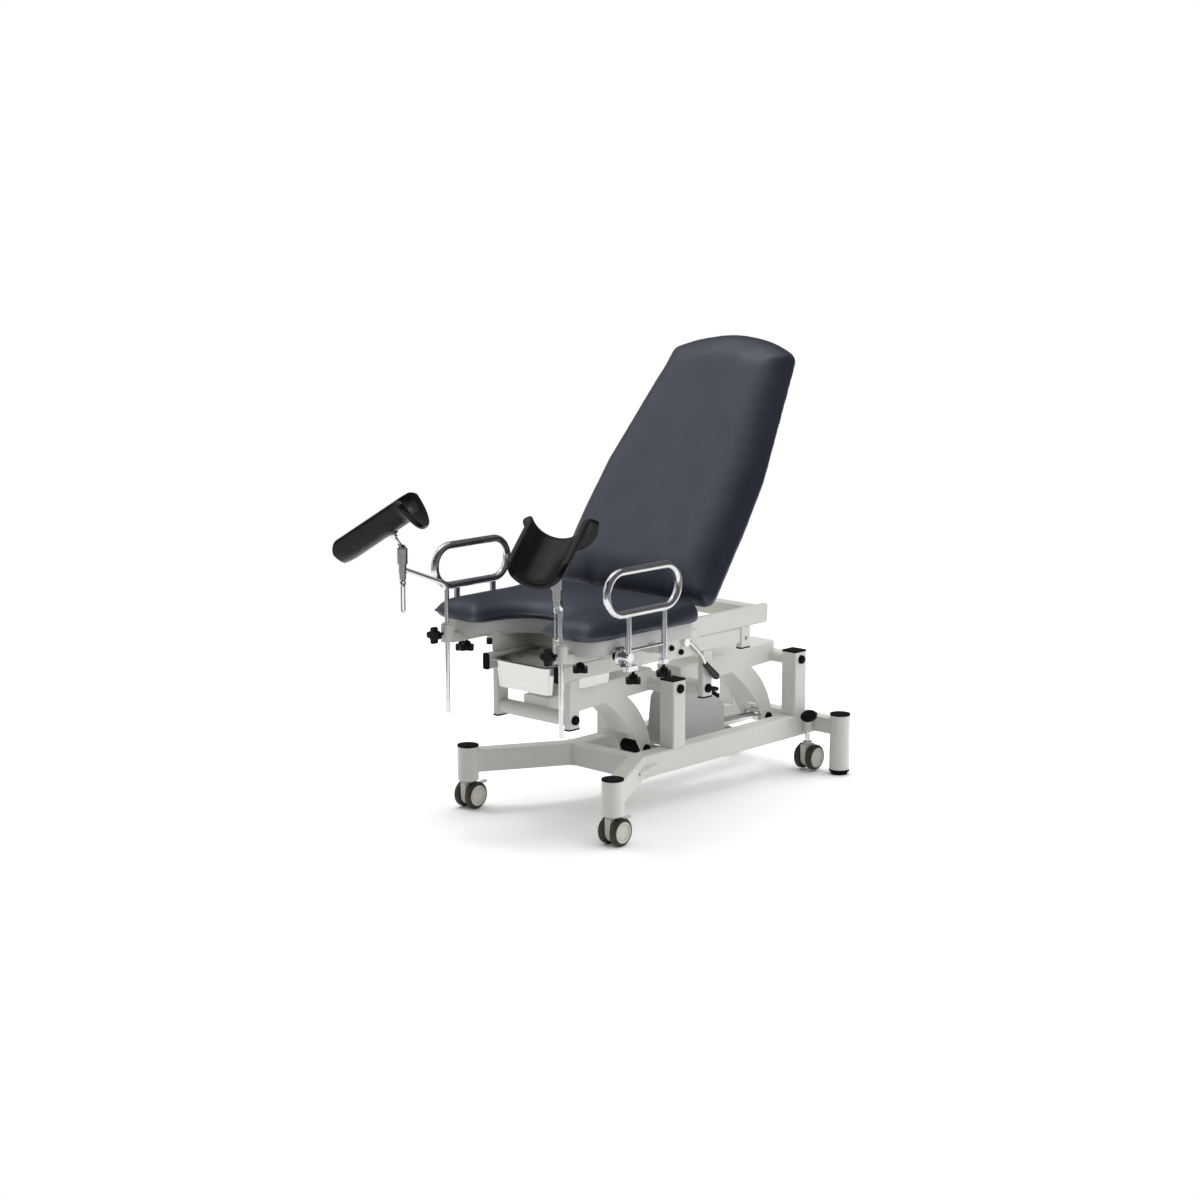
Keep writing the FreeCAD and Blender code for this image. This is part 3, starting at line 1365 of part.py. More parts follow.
def backrest_frame():
    """Back board, two bars, two cross bars, hinge lugs with pins and the gas spring's upper cheeks."""
    board_bottom = -back_underside - board_thickness
    bar_bottom = board_bottom - back_bar
    board = plan_slab(inset(back_outline(), board_inset), (board_bottom, -back_underside))
    side_bar = bar("y", around(back_bar_x, back_bar), (back_bar_start, back_bar_start + back_bar_length),
                   (bar_bottom, board_bottom + 0.5), 3)
    inside = (-back_bar_x, back_bar_x)
    crosses = [bar("x", inside, around(y, back_bar), (bar_bottom, board_bottom + 0.5), 3)
               for y in (gas_upper_u, back_bar_length)]
    lug_inner, lug_outer, _, pin_end = hinge_x()
    lug_x = (lug_inner, lug_outer)
    r = lug_radius
    lug = side_slab([(-r, -r, r - 1), (r + 7, bar_bottom, 0), (lug_length, bar_bottom, 4),
                     (lug_length, board_bottom + 0.5, 0), (r + 17, board_bottom + 0.5, 0), (r, r, r - 1),
                     (-r, r, r - 1)], lug_x)
    pin = cylinder(back_pin_dia, (lug_inner, 0, 0), (pin_end, 0, 0))
    cheek_inner = gas_eye_width / 2 + gas_open_gap
    tip = -gas_upper_v - gas_eye_dia / 2
    cheek = side_slab([(gas_upper_u - 13, tip, 10), (gas_upper_u + 13, tip, 10),
                       (gas_upper_u + 13, bar_bottom + 1, 0), (gas_upper_u - 13, bar_bottom + 1, 0)],
                      (cheek_inner, cheek_inner + cheek_thickness))
    head = cylinder(gas_pin_dia * 1.7, (cheek_inner + cheek_thickness, gas_upper_u, -gas_upper_v),
                    (cheek_inner + cheek_thickness + 6, gas_upper_u, -gas_upper_v))
    welded = [board] + crosses
    for shape in (side_bar, lug, pin, union(cheek, head)):
        welded += pair(shape)
    return on_backrest(union(*welded))


def gas_line():
    """Length and upward angle of the gas spring from its lower pin to its upper eye at rest."""
    angle = radians(back_angle)
    y = back_pivot_y + gas_upper_u * cos(angle) + gas_upper_v * sin(angle)
    z = back_pivot_z + gas_upper_u * sin(angle) - gas_upper_v * cos(angle)
    along = y - gas_lower_y
    rise = z - gas_lower_z
    return sqrt(along ** 2 + rise ** 2), degrees(atan2(rise, along))


def on_gas_spring(shape):
    """A shape modelled along +Y from the lower pin, turned and moved to the gas spring's place at rest."""
    return placed(turned(shape, X_AXIS, gas_line()[1]), 0, gas_lower_y, gas_lower_z)


def gas_cylinder():
    """The gas spring's tube with its lower eye."""
    half = gas_eye_width / 2
    end = gas_tube_start + gas_tube_length
    eye = cylinder(gas_eye_dia, (-half, 0, 0), (half, 0, 0))
    neck = box(around(0, gas_eye_dia * 0.6), (0, gas_tube_start + 1), around(0, gas_eye_dia * 0.6))
    tube = cylinder(gas_tube_dia, (0, gas_tube_start, 0), (0, end - 6, 0))
    nose = cone(gas_tube_dia, gas_tube_dia * 0.7, (0, end - 6, 0), (0, end, 0))
    pin_bore = cylinder(gas_pin_dia + 2 * run_gap, (-half - 1, 0, 0), (half + 1, 0, 0))
    rod_bore = cylinder(gas_rod_dia + 2 * run_gap, (0, end - gas_bore_depth, 0), (0, end + 1, 0))
    return on_gas_spring(union(eye, neck, tube, nose).cut(pin_bore).cut(rod_bore))


def gas_rod():
    """The gas spring's rod with its upper eye, which runs between the backrest cheeks."""
    length = gas_line()[0]
    half = gas_eye_width / 2
    end = gas_tube_start + gas_tube_length
    rod = cylinder(gas_rod_dia, (0, end - gas_rod_overlap, 0), (0, length, 0))
    eye = cylinder(gas_eye_dia * 0.85, (-half, length, 0), (half, length, 0))
    return on_gas_spring(union(rod, eye))


def release_lever():
    """The gas spring's release lever on the side plate: shaft, hub, bent rod and grip."""
    inner = frame_x + side_plate_thickness + face_gap
    outer = inner + lever_hub_length
    middle = (inner + outer) / 2
    grip_end = lever_grip_start + lever_grip_length
    shaft = cylinder(lever_shaft_dia, (frame_x + 1, 0, 0), (inner + 1, 0, 0))
    hub = cylinder(lever_hub_dia, (inner, 0, 0), (outer, 0, 0))
    bends = [(middle, 0, 0), (middle, lever_bow_start, lever_bow), (middle, lever_bow_end, lever_bow),
             (middle, lever_grip_start + 5, 0)]
    rod = [cylinder(lever_rod_dia, a, b) for a, b in zip(bends, bends[1:])]
    rod += [Part.makeSphere(lever_rod_dia / 2, V(*bend)) for bend in bends[1:3]]
    grip = cone(lever_grip_dia * 0.75, lever_grip_dia, (middle, lever_grip_start, 0),
                (middle, grip_end - 8, 0))
    tip = cone(lever_grip_dia, lever_grip_dia * 0.6, (middle, grip_end - 8, 0), (middle, grip_end, 0))
    lever = turned(union(shaft, hub, grip, tip, *rod), X_AXIS, -lever_angle)
    return placed(lever, 0, lever_pivot_y, lever_pivot_z)


def build():
    """Write every node of the chair."""
    save("base_frame", base_frame())
    save("base_caps", *base_caps())
    towers = (front_pivot_y, rear_pivot_y)
    save("base_pivot_bolts", *pivot_bolts((rail_outer, rail_inner), towers, pivot_height))
    save("rear_feet", *rear_feet())
    body, wheels, brake = front_caster()
    save_sides("front_caster", body)
    save_sides("front_wheels", wheels)
    save_sides("caster_brake", brake)
    stem, pedal, body, wheels = rear_caster()
    save_sides("rear_caster_stem", stem)
    save_sides("rear_caster_pedal", pedal)
    save_sides("rear_caster", body)
    save_sides("rear_wheels", wheels)
    save("front_arm", lift_arm(front_pivot_y))
    save("rear_arm", lift_arm(rear_pivot_y))
    save("front_stop_pin", front_stop_pin())
    save("rear_lever_pin", *rear_lever_pin())
    save("actuator_housing", actuator_housing())
    save("actuator_rod", actuator_rod())
    save("lift_frame", lift_frame())
    save("lift_frame_caps", *lift_frame_caps())
    uppers = (upper_pivot_y, upper_pivot_y + pivot_spacing)
    bolts = pivot_bolts((frame_x, frame_inner), uppers, upper_pivot_height)
    save("frame_pivot_bolts", *bolts, *side_plate_bolts())
    save("seat_frame", seat_frame())
    save("seat_pan", seat_pan())
    save("seat_cushion", seat_cushion())
    save("tray", tray())
    save("leg_clamps", *leg_clamps())
    save_sides("leg_clamp_knob", leg_clamp_knob())
    save_sides("clamp_arm_knob", clamp_arm_knob())
    save_sides("leg_bush", leg_bush())
    save_sides("leg_rod", leg_rod())
    save_sides("leg_head", leg_head())
    save_sides("leg_handle", leg_handle())
    save("leg_crutch_left", leg_crutch(crutch_heading_left, crutch_slope_left))
    save("leg_crutch_right", mirrored(leg_crutch(crutch_heading_right, crutch_slope_right)))
    save("armrest_mounts", *armrest_mounts())
    save_sides("armrest", armrest())
    front_knob_y, rear_knob_y = foot_knob_ys()
    save_sides("armrest_front_knob", armrest_foot_knob(front_knob_y))
    save_sides("armrest_rear_knob", armrest_foot_knob(rear_knob_y))
    save_sides("armrest_pivot_knob", armrest_pivot_knob())
    save("backrest_frame", backrest_frame())
    save("backrest_cushion", backrest_cushion())
    save("gas_cylinder", gas_cylinder())
    save("gas_rod", gas_rod())
    save("release_lever", release_lever())


os.makedirs("parts", exist_ok=True)
build()
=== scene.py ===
import json
from math import acos, atan2, cos, pi, radians, sin, sqrt

import bmesh
import bpy
import numpy
from mathutils import Matrix, Vector, kdtree


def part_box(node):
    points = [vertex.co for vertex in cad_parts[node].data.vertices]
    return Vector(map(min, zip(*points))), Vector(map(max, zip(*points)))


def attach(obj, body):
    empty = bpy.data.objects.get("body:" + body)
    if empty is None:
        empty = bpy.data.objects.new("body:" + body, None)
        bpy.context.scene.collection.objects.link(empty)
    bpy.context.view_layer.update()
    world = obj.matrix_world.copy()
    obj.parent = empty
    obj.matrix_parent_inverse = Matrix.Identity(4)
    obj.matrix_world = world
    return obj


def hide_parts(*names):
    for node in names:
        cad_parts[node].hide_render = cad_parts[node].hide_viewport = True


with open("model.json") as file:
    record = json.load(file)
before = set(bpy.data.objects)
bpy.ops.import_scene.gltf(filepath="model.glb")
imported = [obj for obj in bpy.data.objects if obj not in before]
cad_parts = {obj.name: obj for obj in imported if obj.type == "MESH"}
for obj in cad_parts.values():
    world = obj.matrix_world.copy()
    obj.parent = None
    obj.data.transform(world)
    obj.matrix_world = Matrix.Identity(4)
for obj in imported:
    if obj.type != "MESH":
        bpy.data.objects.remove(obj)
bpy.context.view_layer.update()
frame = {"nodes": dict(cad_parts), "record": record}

scene = bpy.context.scene
scene.view_settings.view_transform = "Standard"


# Camera

def make_camera():
    """The photo's own viewpoint, fitted through the chassis, posts and seat."""
    azimuth, elevation = radians(42.97), radians(10.40)
    back = Vector((sin(azimuth) * cos(elevation), -cos(azimuth) * cos(elevation), sin(elevation)))
    data = bpy.data.cameras.new("camera")
    data.lens = 70.84
    data.sensor_width = 36.0
    data.clip_end = 400.0
    camera = bpy.data.objects.new("camera", data)
    camera.location = (4.1287, -4.6788, 1.6726)
    camera.rotation_mode = "QUATERNION"
    camera.rotation_quaternion = (-back).to_track_quat("-Z", "Y")
    scene.collection.objects.link(camera)
    scene.camera = camera


# Materials

class Finish:
    """A node material with short calls for the textures that it needs, in metres of the model."""

    def __init__(self, name, **sockets):
        self.material = bpy.data.materials.new(name)
        self.material.use_nodes = True
        self.tree = self.material.node_tree
        self.shader = self.tree.nodes["Principled BSDF"]
        for key, value in sockets.items():
            self.shader.inputs[key.replace("_", " ")].default_value = value
        self.object = self.tree.nodes.new("ShaderNodeTexCoord").outputs["Object"]

    def node(self, kind, **settings):
        made = self.tree.nodes.new(kind)
        for key, value in settings.items():
            setattr(made, key, value)
        return made

    def feed(self, socket, value):
        if hasattr(value, "links"):
            self.tree.links.new(value, socket)
        else:
            socket.default_value = value

    def shade(self, socket, value):
        self.feed(self.shader.inputs[socket], value)

    def place(self, stretch=(1, 1, 1)):
        mapping = self.node("ShaderNodeMapping")
        self.feed(mapping.inputs["Vector"], self.object)
        mapping.inputs["Scale"].default_value = stretch
        return mapping.outputs["Vector"]

    def noise(self, scale, detail=3.0, rough=0.5, stretch=(1, 1, 1), warp=0.0):
        made = self.node("ShaderNodeTexNoise")
        self.feed(made.inputs["Vector"], self.place(stretch))
        made.inputs["Scale"].default_value = scale
        made.inputs["Detail"].default_value = detail
        made.inputs["Roughness"].default_value = rough
        made.inputs["Distortion"].default_value = warp
        return made.outputs["Fac"]

    def cells(self, scale, feature="F1"):
        made = self.node("ShaderNodeTexVoronoi", feature=feature)
        self.feed(made.inputs["Vector"], self.place())
        made.inputs["Scale"].default_value = scale
        return made.outputs["Distance"]

    def sums(self, operation, a, b=0.0):
        made = self.node("ShaderNodeMath", operation=operation)
        for socket, value in zip(made.inputs, (a, b)):
            self.feed(socket, value)
        return made.outputs["Value"]

    def span(self, value, low, high, start=0.3, end=0.7):
        made = self.node("ShaderNodeMapRange")
        self.feed(made.inputs["Value"], value)
        for key, number in (("From Min", start), ("From Max", end), ("To Min", low), ("To Max", high)):
            made.inputs[key].default_value = number
        return made.outputs["Result"]

    def tones(self, value, *stops):
        made = self.node("ShaderNodeValToRGB")
        self.feed(made.inputs["Fac"], value)
        ramp = made.color_ramp
        while len(ramp.elements) < len(stops):
            ramp.elements.new(0.5)
        for element, (place, colour) in zip(ramp.elements, stops):
            element.position = place
            element.color = (*colour, 1.0)
        return made.outputs["Color"]

    def choose(self, mask, off, on):
        made = self.node("ShaderNodeMix", data_type="RGBA")
        self.feed(made.inputs["Factor"], mask)
        self.feed(made.inputs[6], off)
        self.feed(made.inputs[7], on)
        return made.outputs[2]

    def step(self, value, edge, soft=0.0006):
        return self.span(value, 0.0, 1.0, edge - soft, edge + soft)

    def axis(self, letter):
        made = self.node("ShaderNodeSeparateXYZ")
        self.feed(made.inputs["Vector"], self.object)
        return made.outputs[letter]

    def away(self, y, z):
        """The distance from a line along X through y and z."""
        dy = self.sums("SUBTRACT", self.axis("Y"), y)
        dz = self.sums("SUBTRACT", self.axis("Z"), z)
        square = self.sums("ADD", self.sums("MULTIPLY", dy, dy), self.sums("MULTIPLY", dz, dz))
        return self.sums("SQRT", square)

    def soften(self, radius):
        made = self.node("ShaderNodeBevel", samples=3)
        made.inputs["Radius"].default_value = radius
        return made.outputs["Normal"]

    def bump(self, height, distance, strength=1.0, normal=None):
        made = self.node("ShaderNodeBump")
        made.inputs["Strength"].default_value = strength
        made.inputs["Distance"].default_value = distance
        self.feed(made.inputs["Height"], height)
        if normal is not None:
            self.feed(made.inputs["Normal"], normal)
        self.feed(self.shader.inputs["Normal"], made.outputs["Normal"])
        return made.outputs["Normal"]


def powder_coat():
    f = Finish("frame_paint", Specular_IOR_Level=0.45, Coat_Weight=0.2, Coat_Roughness=0.18)
    cloud = f.noise(5.0, 4)
    f.shade("Base Color", f.tones(cloud, (0.3, (0.735, 0.730, 0.690)), (0.7, (0.790, 0.785, 0.745))))
    f.shade("Roughness", f.span(f.noise(38.0, 3), 0.34, 0.50))
    f.bump(f.noise(520.0, 2), 0.0005, 0.16, f.soften(0.0016))
    return f.material


def black_plastic(name, colour, rough, grain, coat=0.0):
    f = Finish(name, Specular_IOR_Level=0.06, Coat_Weight=coat, Coat_Roughness=0.12)
    light = tuple(c * 1.7 + 0.002 for c in colour)
    f.shade("Base Color", f.tones(f.noise(60.0, 4), (0.3, colour), (0.75, light)))
    f.shade("Roughness", f.span(f.noise(120.0, 3), rough - 0.07, rough + 0.09))
    f.bump(f.noise(grain, 3, 0.6), 0.0004, 0.3, f.soften(0.0010))
    return f.material


def leatherette():
    f = Finish("upholstery", Specular_IOR_Level=0.85, Specular_Tint=(0.80, 0.86, 1.0, 1.0))
    cloud = f.noise(3.2, 5, 0.6)
    pores = f.cells(520.0)
    creases = f.cells(260.0, "DISTANCE_TO_EDGE")
    shades = f.tones(cloud, (0.30, (0.0100, 0.0145, 0.0290)), (0.70, (0.0135, 0.0185, 0.0350)))
    in_pores = f.span(pores, 0.0, 0.35, 0.2, 0.9)
    f.shade("Base Color", f.choose(in_pores, shades, (0.0075, 0.0105, 0.0200, 1)))
    f.shade("Roughness", f.span(f.noise(14.0, 4), 0.42, 0.52))
    grain = f.sums("ADD", f.sums("MULTIPLY", pores, 0.5), f.span(creases, 0.0, 0.7, 0.0, 0.18))
    fine = f.bump(grain, 0.0006, 0.30)
    f.bump(f.noise(9.0, 3), 0.004, 0.12, fine)
    return f.material


def moulded_foam():
    f = Finish("crutch_foam", Specular_IOR_Level=0.24)
    cloud = f.noise(18.0, 4)
    f.shade("Base Color", f.tones(cloud, (0.3, (0.0030, 0.0031, 0.0036)), (0.7, (0.0050, 0.0051, 0.0058))))
    f.shade("Roughness", f.span(f.noise(26.0, 4), 0.26, 0.36))
    fine = f.bump(f.cells(900.0), 0.0002, 0.15)
    f.bump(f.noise(16.0, 2), 0.002, 0.06, fine)
    return f.material


def chrome():
    f = Finish("chrome", Metallic=1.0)
    cloud = f.noise(22.0, 3)
    f.shade("Base Color", f.tones(cloud, (0.3, (0.61, 0.615, 0.625)), (0.7, (0.69, 0.695, 0.70))))
    smudge = f.noise(30.0, 5, 0.65, warp=0.6)
    f.shade("Roughness", f.span(smudge, 0.07, 0.20))
    f.bump(f.noise(300.0, 2), 0.0002, 0.10, f.soften(0.0008))
    return f.material


def brushed_steel():
    f = Finish("stainless", Metallic=1.0, Anisotropic=0.35)
    brush = f.noise(16.0, 4, 0.6, stretch=(1.0, 1.0, 60.0))
    f.shade("Base Color", f.tones(brush, (0.3, (0.55, 0.545, 0.53)), (0.7, (0.64, 0.635, 0.62))))
    f.shade("Roughness", f.span(brush, 0.09, 0.18))
    fine = f.bump(brush, 0.0002, 0.18, f.soften(0.0014))
    f.bump(f.noise(14.0, 2), 0.004, 0.22, fine)
    return f.material


def wheel(name, y, z):
    """A pale hub with a darker ring and a rubber tyre, about an axle along X through y and z."""
    hub_radius, ring_inner, ring_outer = 0.0272, 0.0192, 0.0206
    f = Finish(name, Specular_IOR_Level=0.45)
    reach = f.away(y, z)
    tyre = f.step(reach, hub_radius)
    outside = f.step(reach, ring_outer)
    ring = f.sums("MULTIPLY", f.step(reach, ring_inner), f.sums("SUBTRACT", 1.0, outside))
    scuff = f.noise(70.0, 4)
    hub = f.tones(scuff, (0.3, (0.66, 0.640, 0.570)), (0.7, (0.73, 0.710, 0.645)))
    hub = f.choose(f.sums("MULTIPLY", ring, 0.55), hub, (0.30, 0.285, 0.24, 1))
    rubber = f.tones(scuff, (0.3, (0.024, 0.022, 0.015)), (0.7, (0.042, 0.039, 0.028)))
    f.shade("Base Color", f.choose(tyre, hub, rubber))
    f.shade("Roughness", f.sums("ADD", f.sums("MULTIPLY", tyre, 0.16), f.span(f.noise(50.0), 0.36, 0.48)))
    f.bump(f.noise(420.0, 3), 0.0004, 0.22, f.soften(0.0012))
    return f.material


def lever():
    """Chrome rod with a black grip from a place along its own line."""
    f = Finish("lever", Specular_IOR_Level=0.5)
    slope, hub_y, hub_z, grip_start = radians(41.7), -0.0764, 0.4442, 0.104
    along = f.sums("SUBTRACT", f.sums("MULTIPLY", f.sums("SUBTRACT", f.axis("Y"), hub_y), cos(slope)),
                   f.sums("MULTIPLY", f.sums("SUBTRACT", f.axis("Z"), hub_z), sin(slope)))
    metal = f.sums("SUBTRACT", 1.0, f.step(along, grip_start))
    smudge = f.noise(40.0, 4)
    steel = f.tones(smudge, (0.3, (0.72, 0.725, 0.735)), (0.7, (0.80, 0.805, 0.81)))
    black = f.tones(smudge, (0.3, (0.008, 0.008, 0.009)), (0.7, (0.016, 0.016, 0.017)))
    f.shade("Base Color", f.choose(metal, black, steel))
    f.shade("Metallic", metal)
    f.shade("Roughness", f.sums("SUBTRACT", f.span(smudge, 0.38, 0.50), f.sums("MULTIPLY", metal, 0.27)))
    f.bump(f.noise(350.0, 2), 0.0003, 0.18, f.soften(0.0010))
    return f.material


def housing():
    f = Finish("actuator_plastic", Specular_IOR_Level=0.45)
    cloud = f.noise(10.0, 4)
    f.shade("Base Color", f.tones(cloud, (0.3, (0.470, 0.470, 0.475)), (0.7, (0.520, 0.520, 0.525))))
    f.shade("Roughness", f.span(f.noise(60.0, 3), 0.44, 0.58))
    f.bump(f.noise(700.0, 3, 0.6), 0.0004, 0.30, f.soften(0.0020))
    return f.material


def caster_plastic():
    f = Finish("caster_plastic", Specular_IOR_Level=0.45)
    f.shade("Base Color", f.tones(f.noise(40.0, 4), (0.3, (0.60, 0.585, 0.53)), (0.7, (0.68, 0.665, 0.61))))
    f.shade("Roughness", f.span(f.noise(70.0, 3), 0.36, 0.50))
    f.bump(f.noise(500.0, 2), 0.0003, 0.2, f.soften(0.0012))
    return f.material


def pan_sheet():
    f = Finish("pan_paint", Specular_IOR_Level=0.42)
    cloud = f.noise(7.0, 4)
    f.shade("Base Color", f.tones(cloud, (0.3, (0.590, 0.588, 0.570)), (0.7, (0.650, 0.648, 0.630))))
    f.shade("Roughness", f.span(f.noise(45.0, 3), 0.42, 0.58))
    f.bump(f.noise(620.0, 2), 0.0004, 0.18, f.soften(0.0012))
    return f.material


def dress_nodes(finishes):
    own = {"front_wheels_left": "wheel_front", "front_wheels_right": "wheel_front",
           "rear_wheels_left": "wheel_rear", "rear_wheels_right": "wheel_rear", "release_lever": "lever",
           "leg_bush_left": "pan_paint", "leg_bush_right": "pan_paint"}
    slots = {row["node"]: row["material_slot"] for row in frame["record"]["subparts"]}
    for name, node in frame["nodes"].items():
        finish = finishes[own.get(name, slots[name])]
        if not node.material_slots:
            node.data.materials.append(finish)
        for place in node.material_slots:
            place.material = finish


# Soft pieces

def link(name, mesh):
    piece = bpy.data.objects.new(name, mesh)
    scene.collection.objects.link(piece)
    return piece


def baked(piece):
    """Applies every modifier of a piece to its mesh."""
    view = bpy.context.view_layer
    view.update()
    mesh = bpy.data.meshes.new_from_object(piece.evaluated_get(bpy.context.evaluated_depsgraph_get()))
    piece.modifiers.clear()
    old, piece.data = piece.data, mesh
    bpy.data.meshes.remove(old)


def shade_smooth(piece):
    piece.data.polygons.foreach_set("use_smooth", [True] * len(piece.data.polygons))


def flat_mesh(name, node):
    """A node's mesh, welded and copied."""
    mesh = frame["nodes"][node].data.copy()
    mesh.name = name
    work = bmesh.new()
    work.from_mesh(mesh)
    bmesh.ops.remove_doubles(work, verts=work.verts, dist=1e-5)
    work.to_mesh(mesh)
    work.free()
    mesh.materials.clear()
    return mesh


def smooth(value, start, end):
    """Zero before start, one after end and a soft step between."""
    t = max(0.0, min(1.0, (value - start) / (end - start)))
    return t * t * (3 - 2 * t)


def square_corners(piece, edge, way, front, size, low, thick):
    """Draws rounded front corners at both sides out towards square ones, most at half the height."""
    power = 5
    for vertex in piece.data.vertices:
        p = vertex.co
        a = (way * (abs(p.x) - edge) + size) / size
        b = (front + size - p.y) / size
        if a <= 0 or b <= 0 or a > 1.2:
            continue
        turn = atan2(b, a)
        grow = (cos(turn) ** power + sin(turn) ** power) ** (-1 / power) - 1
        grow *= 1 - 0.2 * smooth(p.z, low + thick * 0.5, low + thick)
        grow *= 0.5 + 0.5 * smooth(p.z, low, low + thick * 0.5)
        p.x += (1 if p.x > 0 else -1) * way * a * size * grow
        p.y -= b * size * grow


def dome(piece, up, low, thick, lift, sink, width, rear=None):
    """Raises the top and lets it fall off over a width to the outline, hardly so at a rear edge, if given."""
    points = piece.data.vertices
    heights = [v.co.dot(up) - low for v in points]
    walls = [v.co - up * v.co.dot(up) for v, h in zip(points, heights)
             if 0.15 * thick < h < 0.5 * thick and abs(v.normal.dot(up)) < 0.5]
    tree = kdtree.KDTree(len(walls))
    for index, place in enumerate(walls):
        tree.insert(place, index)
    tree.balance()
    for vertex, height in zip(points, heights):
        flat = vertex.co - up * vertex.co.dot(up)
        near = max(0.0, 1 - tree.find(flat)[2] / width)
        fall = sink * near ** 2
        if rear is not None:
            fall *= 1 - 0.9 * smooth(vertex.co.y, rear - 0.20, rear - 0.06)
        vertex.co += up * ((lift - fall) * smooth(height, 0.1 * thick, 0.8 * thick))


def stretch(piece, origin, axis, share):
    """Draws a piece out along an axis, to win back the outline that smoothing takes."""
    for vertex in piece.data.vertices:
        vertex.co += axis * ((vertex.co - origin).dot(axis) * share)


def eased(mesh, moves, still):
    """Evens out the cover's moves between neighbours, so that it stays taut without wrinkles."""
    rounds, own = 60, 0.4
    edges = numpy.empty(len(mesh.edges) * 2, dtype=numpy.int32)
    mesh.edges.foreach_get("vertices", edges)
    a, b = edges[0::2], edges[1::2]
    count = numpy.bincount(edges, minlength=len(moves))[:, None]
    for _ in range(rounds):
        total = numpy.zeros_like(moves)
        numpy.add.at(total, a, moves[b])
        numpy.add.at(total, b, moves[a])
        moves = own * moves + (1 - own) * total / count
        moves[still] = 0.0
    return moves


def settle(piece, held):
    """Blows the cover up from inside for some frames; held gives the points that stay on the board."""
    frames, cap = 20, 0.010
    rest = [v.co.copy() for v in piece.data.vertices]
    group = piece.vertex_groups.new(name="held")
    group.add([i for i, p in enumerate(rest) if held(p)], 1.0, "REPLACE")
    cloth = piece.modifiers.new("cover", "CLOTH")
    cloth.settings.quality = 4
    cloth.settings.mass = 0.35
    cloth.settings.tension_stiffness = 30
    cloth.settings.compression_stiffness = 30
    cloth.settings.bending_stiffness = 2.0
    cloth.settings.use_pressure = True
    cloth.settings.uniform_pressure_force = 3.0
    cloth.settings.vertex_group_mass = "held"
    cloth.settings.effector_weights.gravity = 0.0
    cloth.collision_settings.use_collision = False
    cloth.collision_settings.use_self_collision = False
    for step in range(1, frames + 1):
        scene.frame_set(step)
    baked(piece)
    moves = []
    for vertex, old in zip(piece.data.vertices, rest):
        move = vertex.co - old
        moves.append(move * min(1.0, cap / max(move.length, 1e-9)))
    still = numpy.array([held(p) for p in rest])
    moves = eased(piece.data, numpy.array(moves), still)
    for vertex, old, move in zip(piece.data.vertices, rest, moves):
        vertex.co = old + Vector(move)
    scene.frame_set(1)


def smoothed(piece, iterations):
    soft = piece.modifiers.new("soft", "SMOOTH")
    soft.factor = 0.5
    soft.iterations = iterations
    baked(piece)


def skin(name, node):
    """A voxel skin of a plain CAD pad."""
    piece = link(name, flat_mesh(name, node))
    remesh = piece.modifiers.new("skin", "REMESH")
    remesh.mode = "VOXEL"
    remesh.voxel_size = 0.006
    remesh.adaptivity = 0.0
    baked(piece)
    smoothed(piece, 6)
    return piece


def upholster(piece, held):
    """Draws the pad in a little, lets the cover swell and smooths it."""
    inset = 0.003
    normals = [v.normal.copy() for v in piece.data.vertices]
    for vertex, normal in zip(piece.data.vertices, normals):
        if not held(vertex.co):
            vertex.co -= normal * inset
    settle(piece, held)
    smoothed(piece, 6)
    fine = piece.modifiers.new("fine", "SUBSURF")
    fine.levels = fine.render_levels = 1
    baked(piece)
    shade_smooth(piece)


# Leg crutches

wall, toe, knee, round_toe, round_knee = 0.015, -0.146, 0.090, 0.046, 0.034
radius, lip_reach, lip_length, side_top, spread = 0.078, 0.038, 0.038, 0.074, radians(84.0)
stem_length = 0.044
ball = Vector((0.272, -0.6906, 0.7198))


def crutch_place(heading, slope):
    return (Matrix.Translation(ball) @ Matrix.Rotation(radians(heading), 4, "Z")
            @ Matrix.Rotation(radians(slope), 4, "X") @ Matrix.Translation((0, 0, stem_length)))


def side_reach(s):
    """How high the sides stand at a place along the trough: their corners are rounded."""
    top = side_top
    for end, size in ((s - toe, round_toe), (knee - s, round_knee)):
        if end < size:
            top = min(top, side_top - size + sqrt(max(size ** 2 - (size - end) ** 2, 0)))
    return top


def trough_line():
    """The middle of the wall from the toe to the turned-out lip, as places along and distances out."""
    middle, bend = radius - wall / 2, knee - lip_length
    line = []
    for k in range(30):
        t = k / 29
        t = t - 0.07 * sin(2 * pi * t)
        s = toe + 0.003 + (bend - toe - 0.003) * t
        draw = 0.005 * max(0.0, 1 - (s - toe) / 0.040) ** 2
        line.append((s, middle - draw))
    start = Vector((bend, middle))
    pull = Vector((bend + 0.028, middle + 0.001))
    end = Vector((knee - wall / 2, radius + lip_reach - 0.003))
    for k in range(1, 15):
        t = k / 14
        point = start * (1 - t) ** 2 + pull * 2 * t * (1 - t) + end * t * t
        line.append((point.x, point.y))
    return line


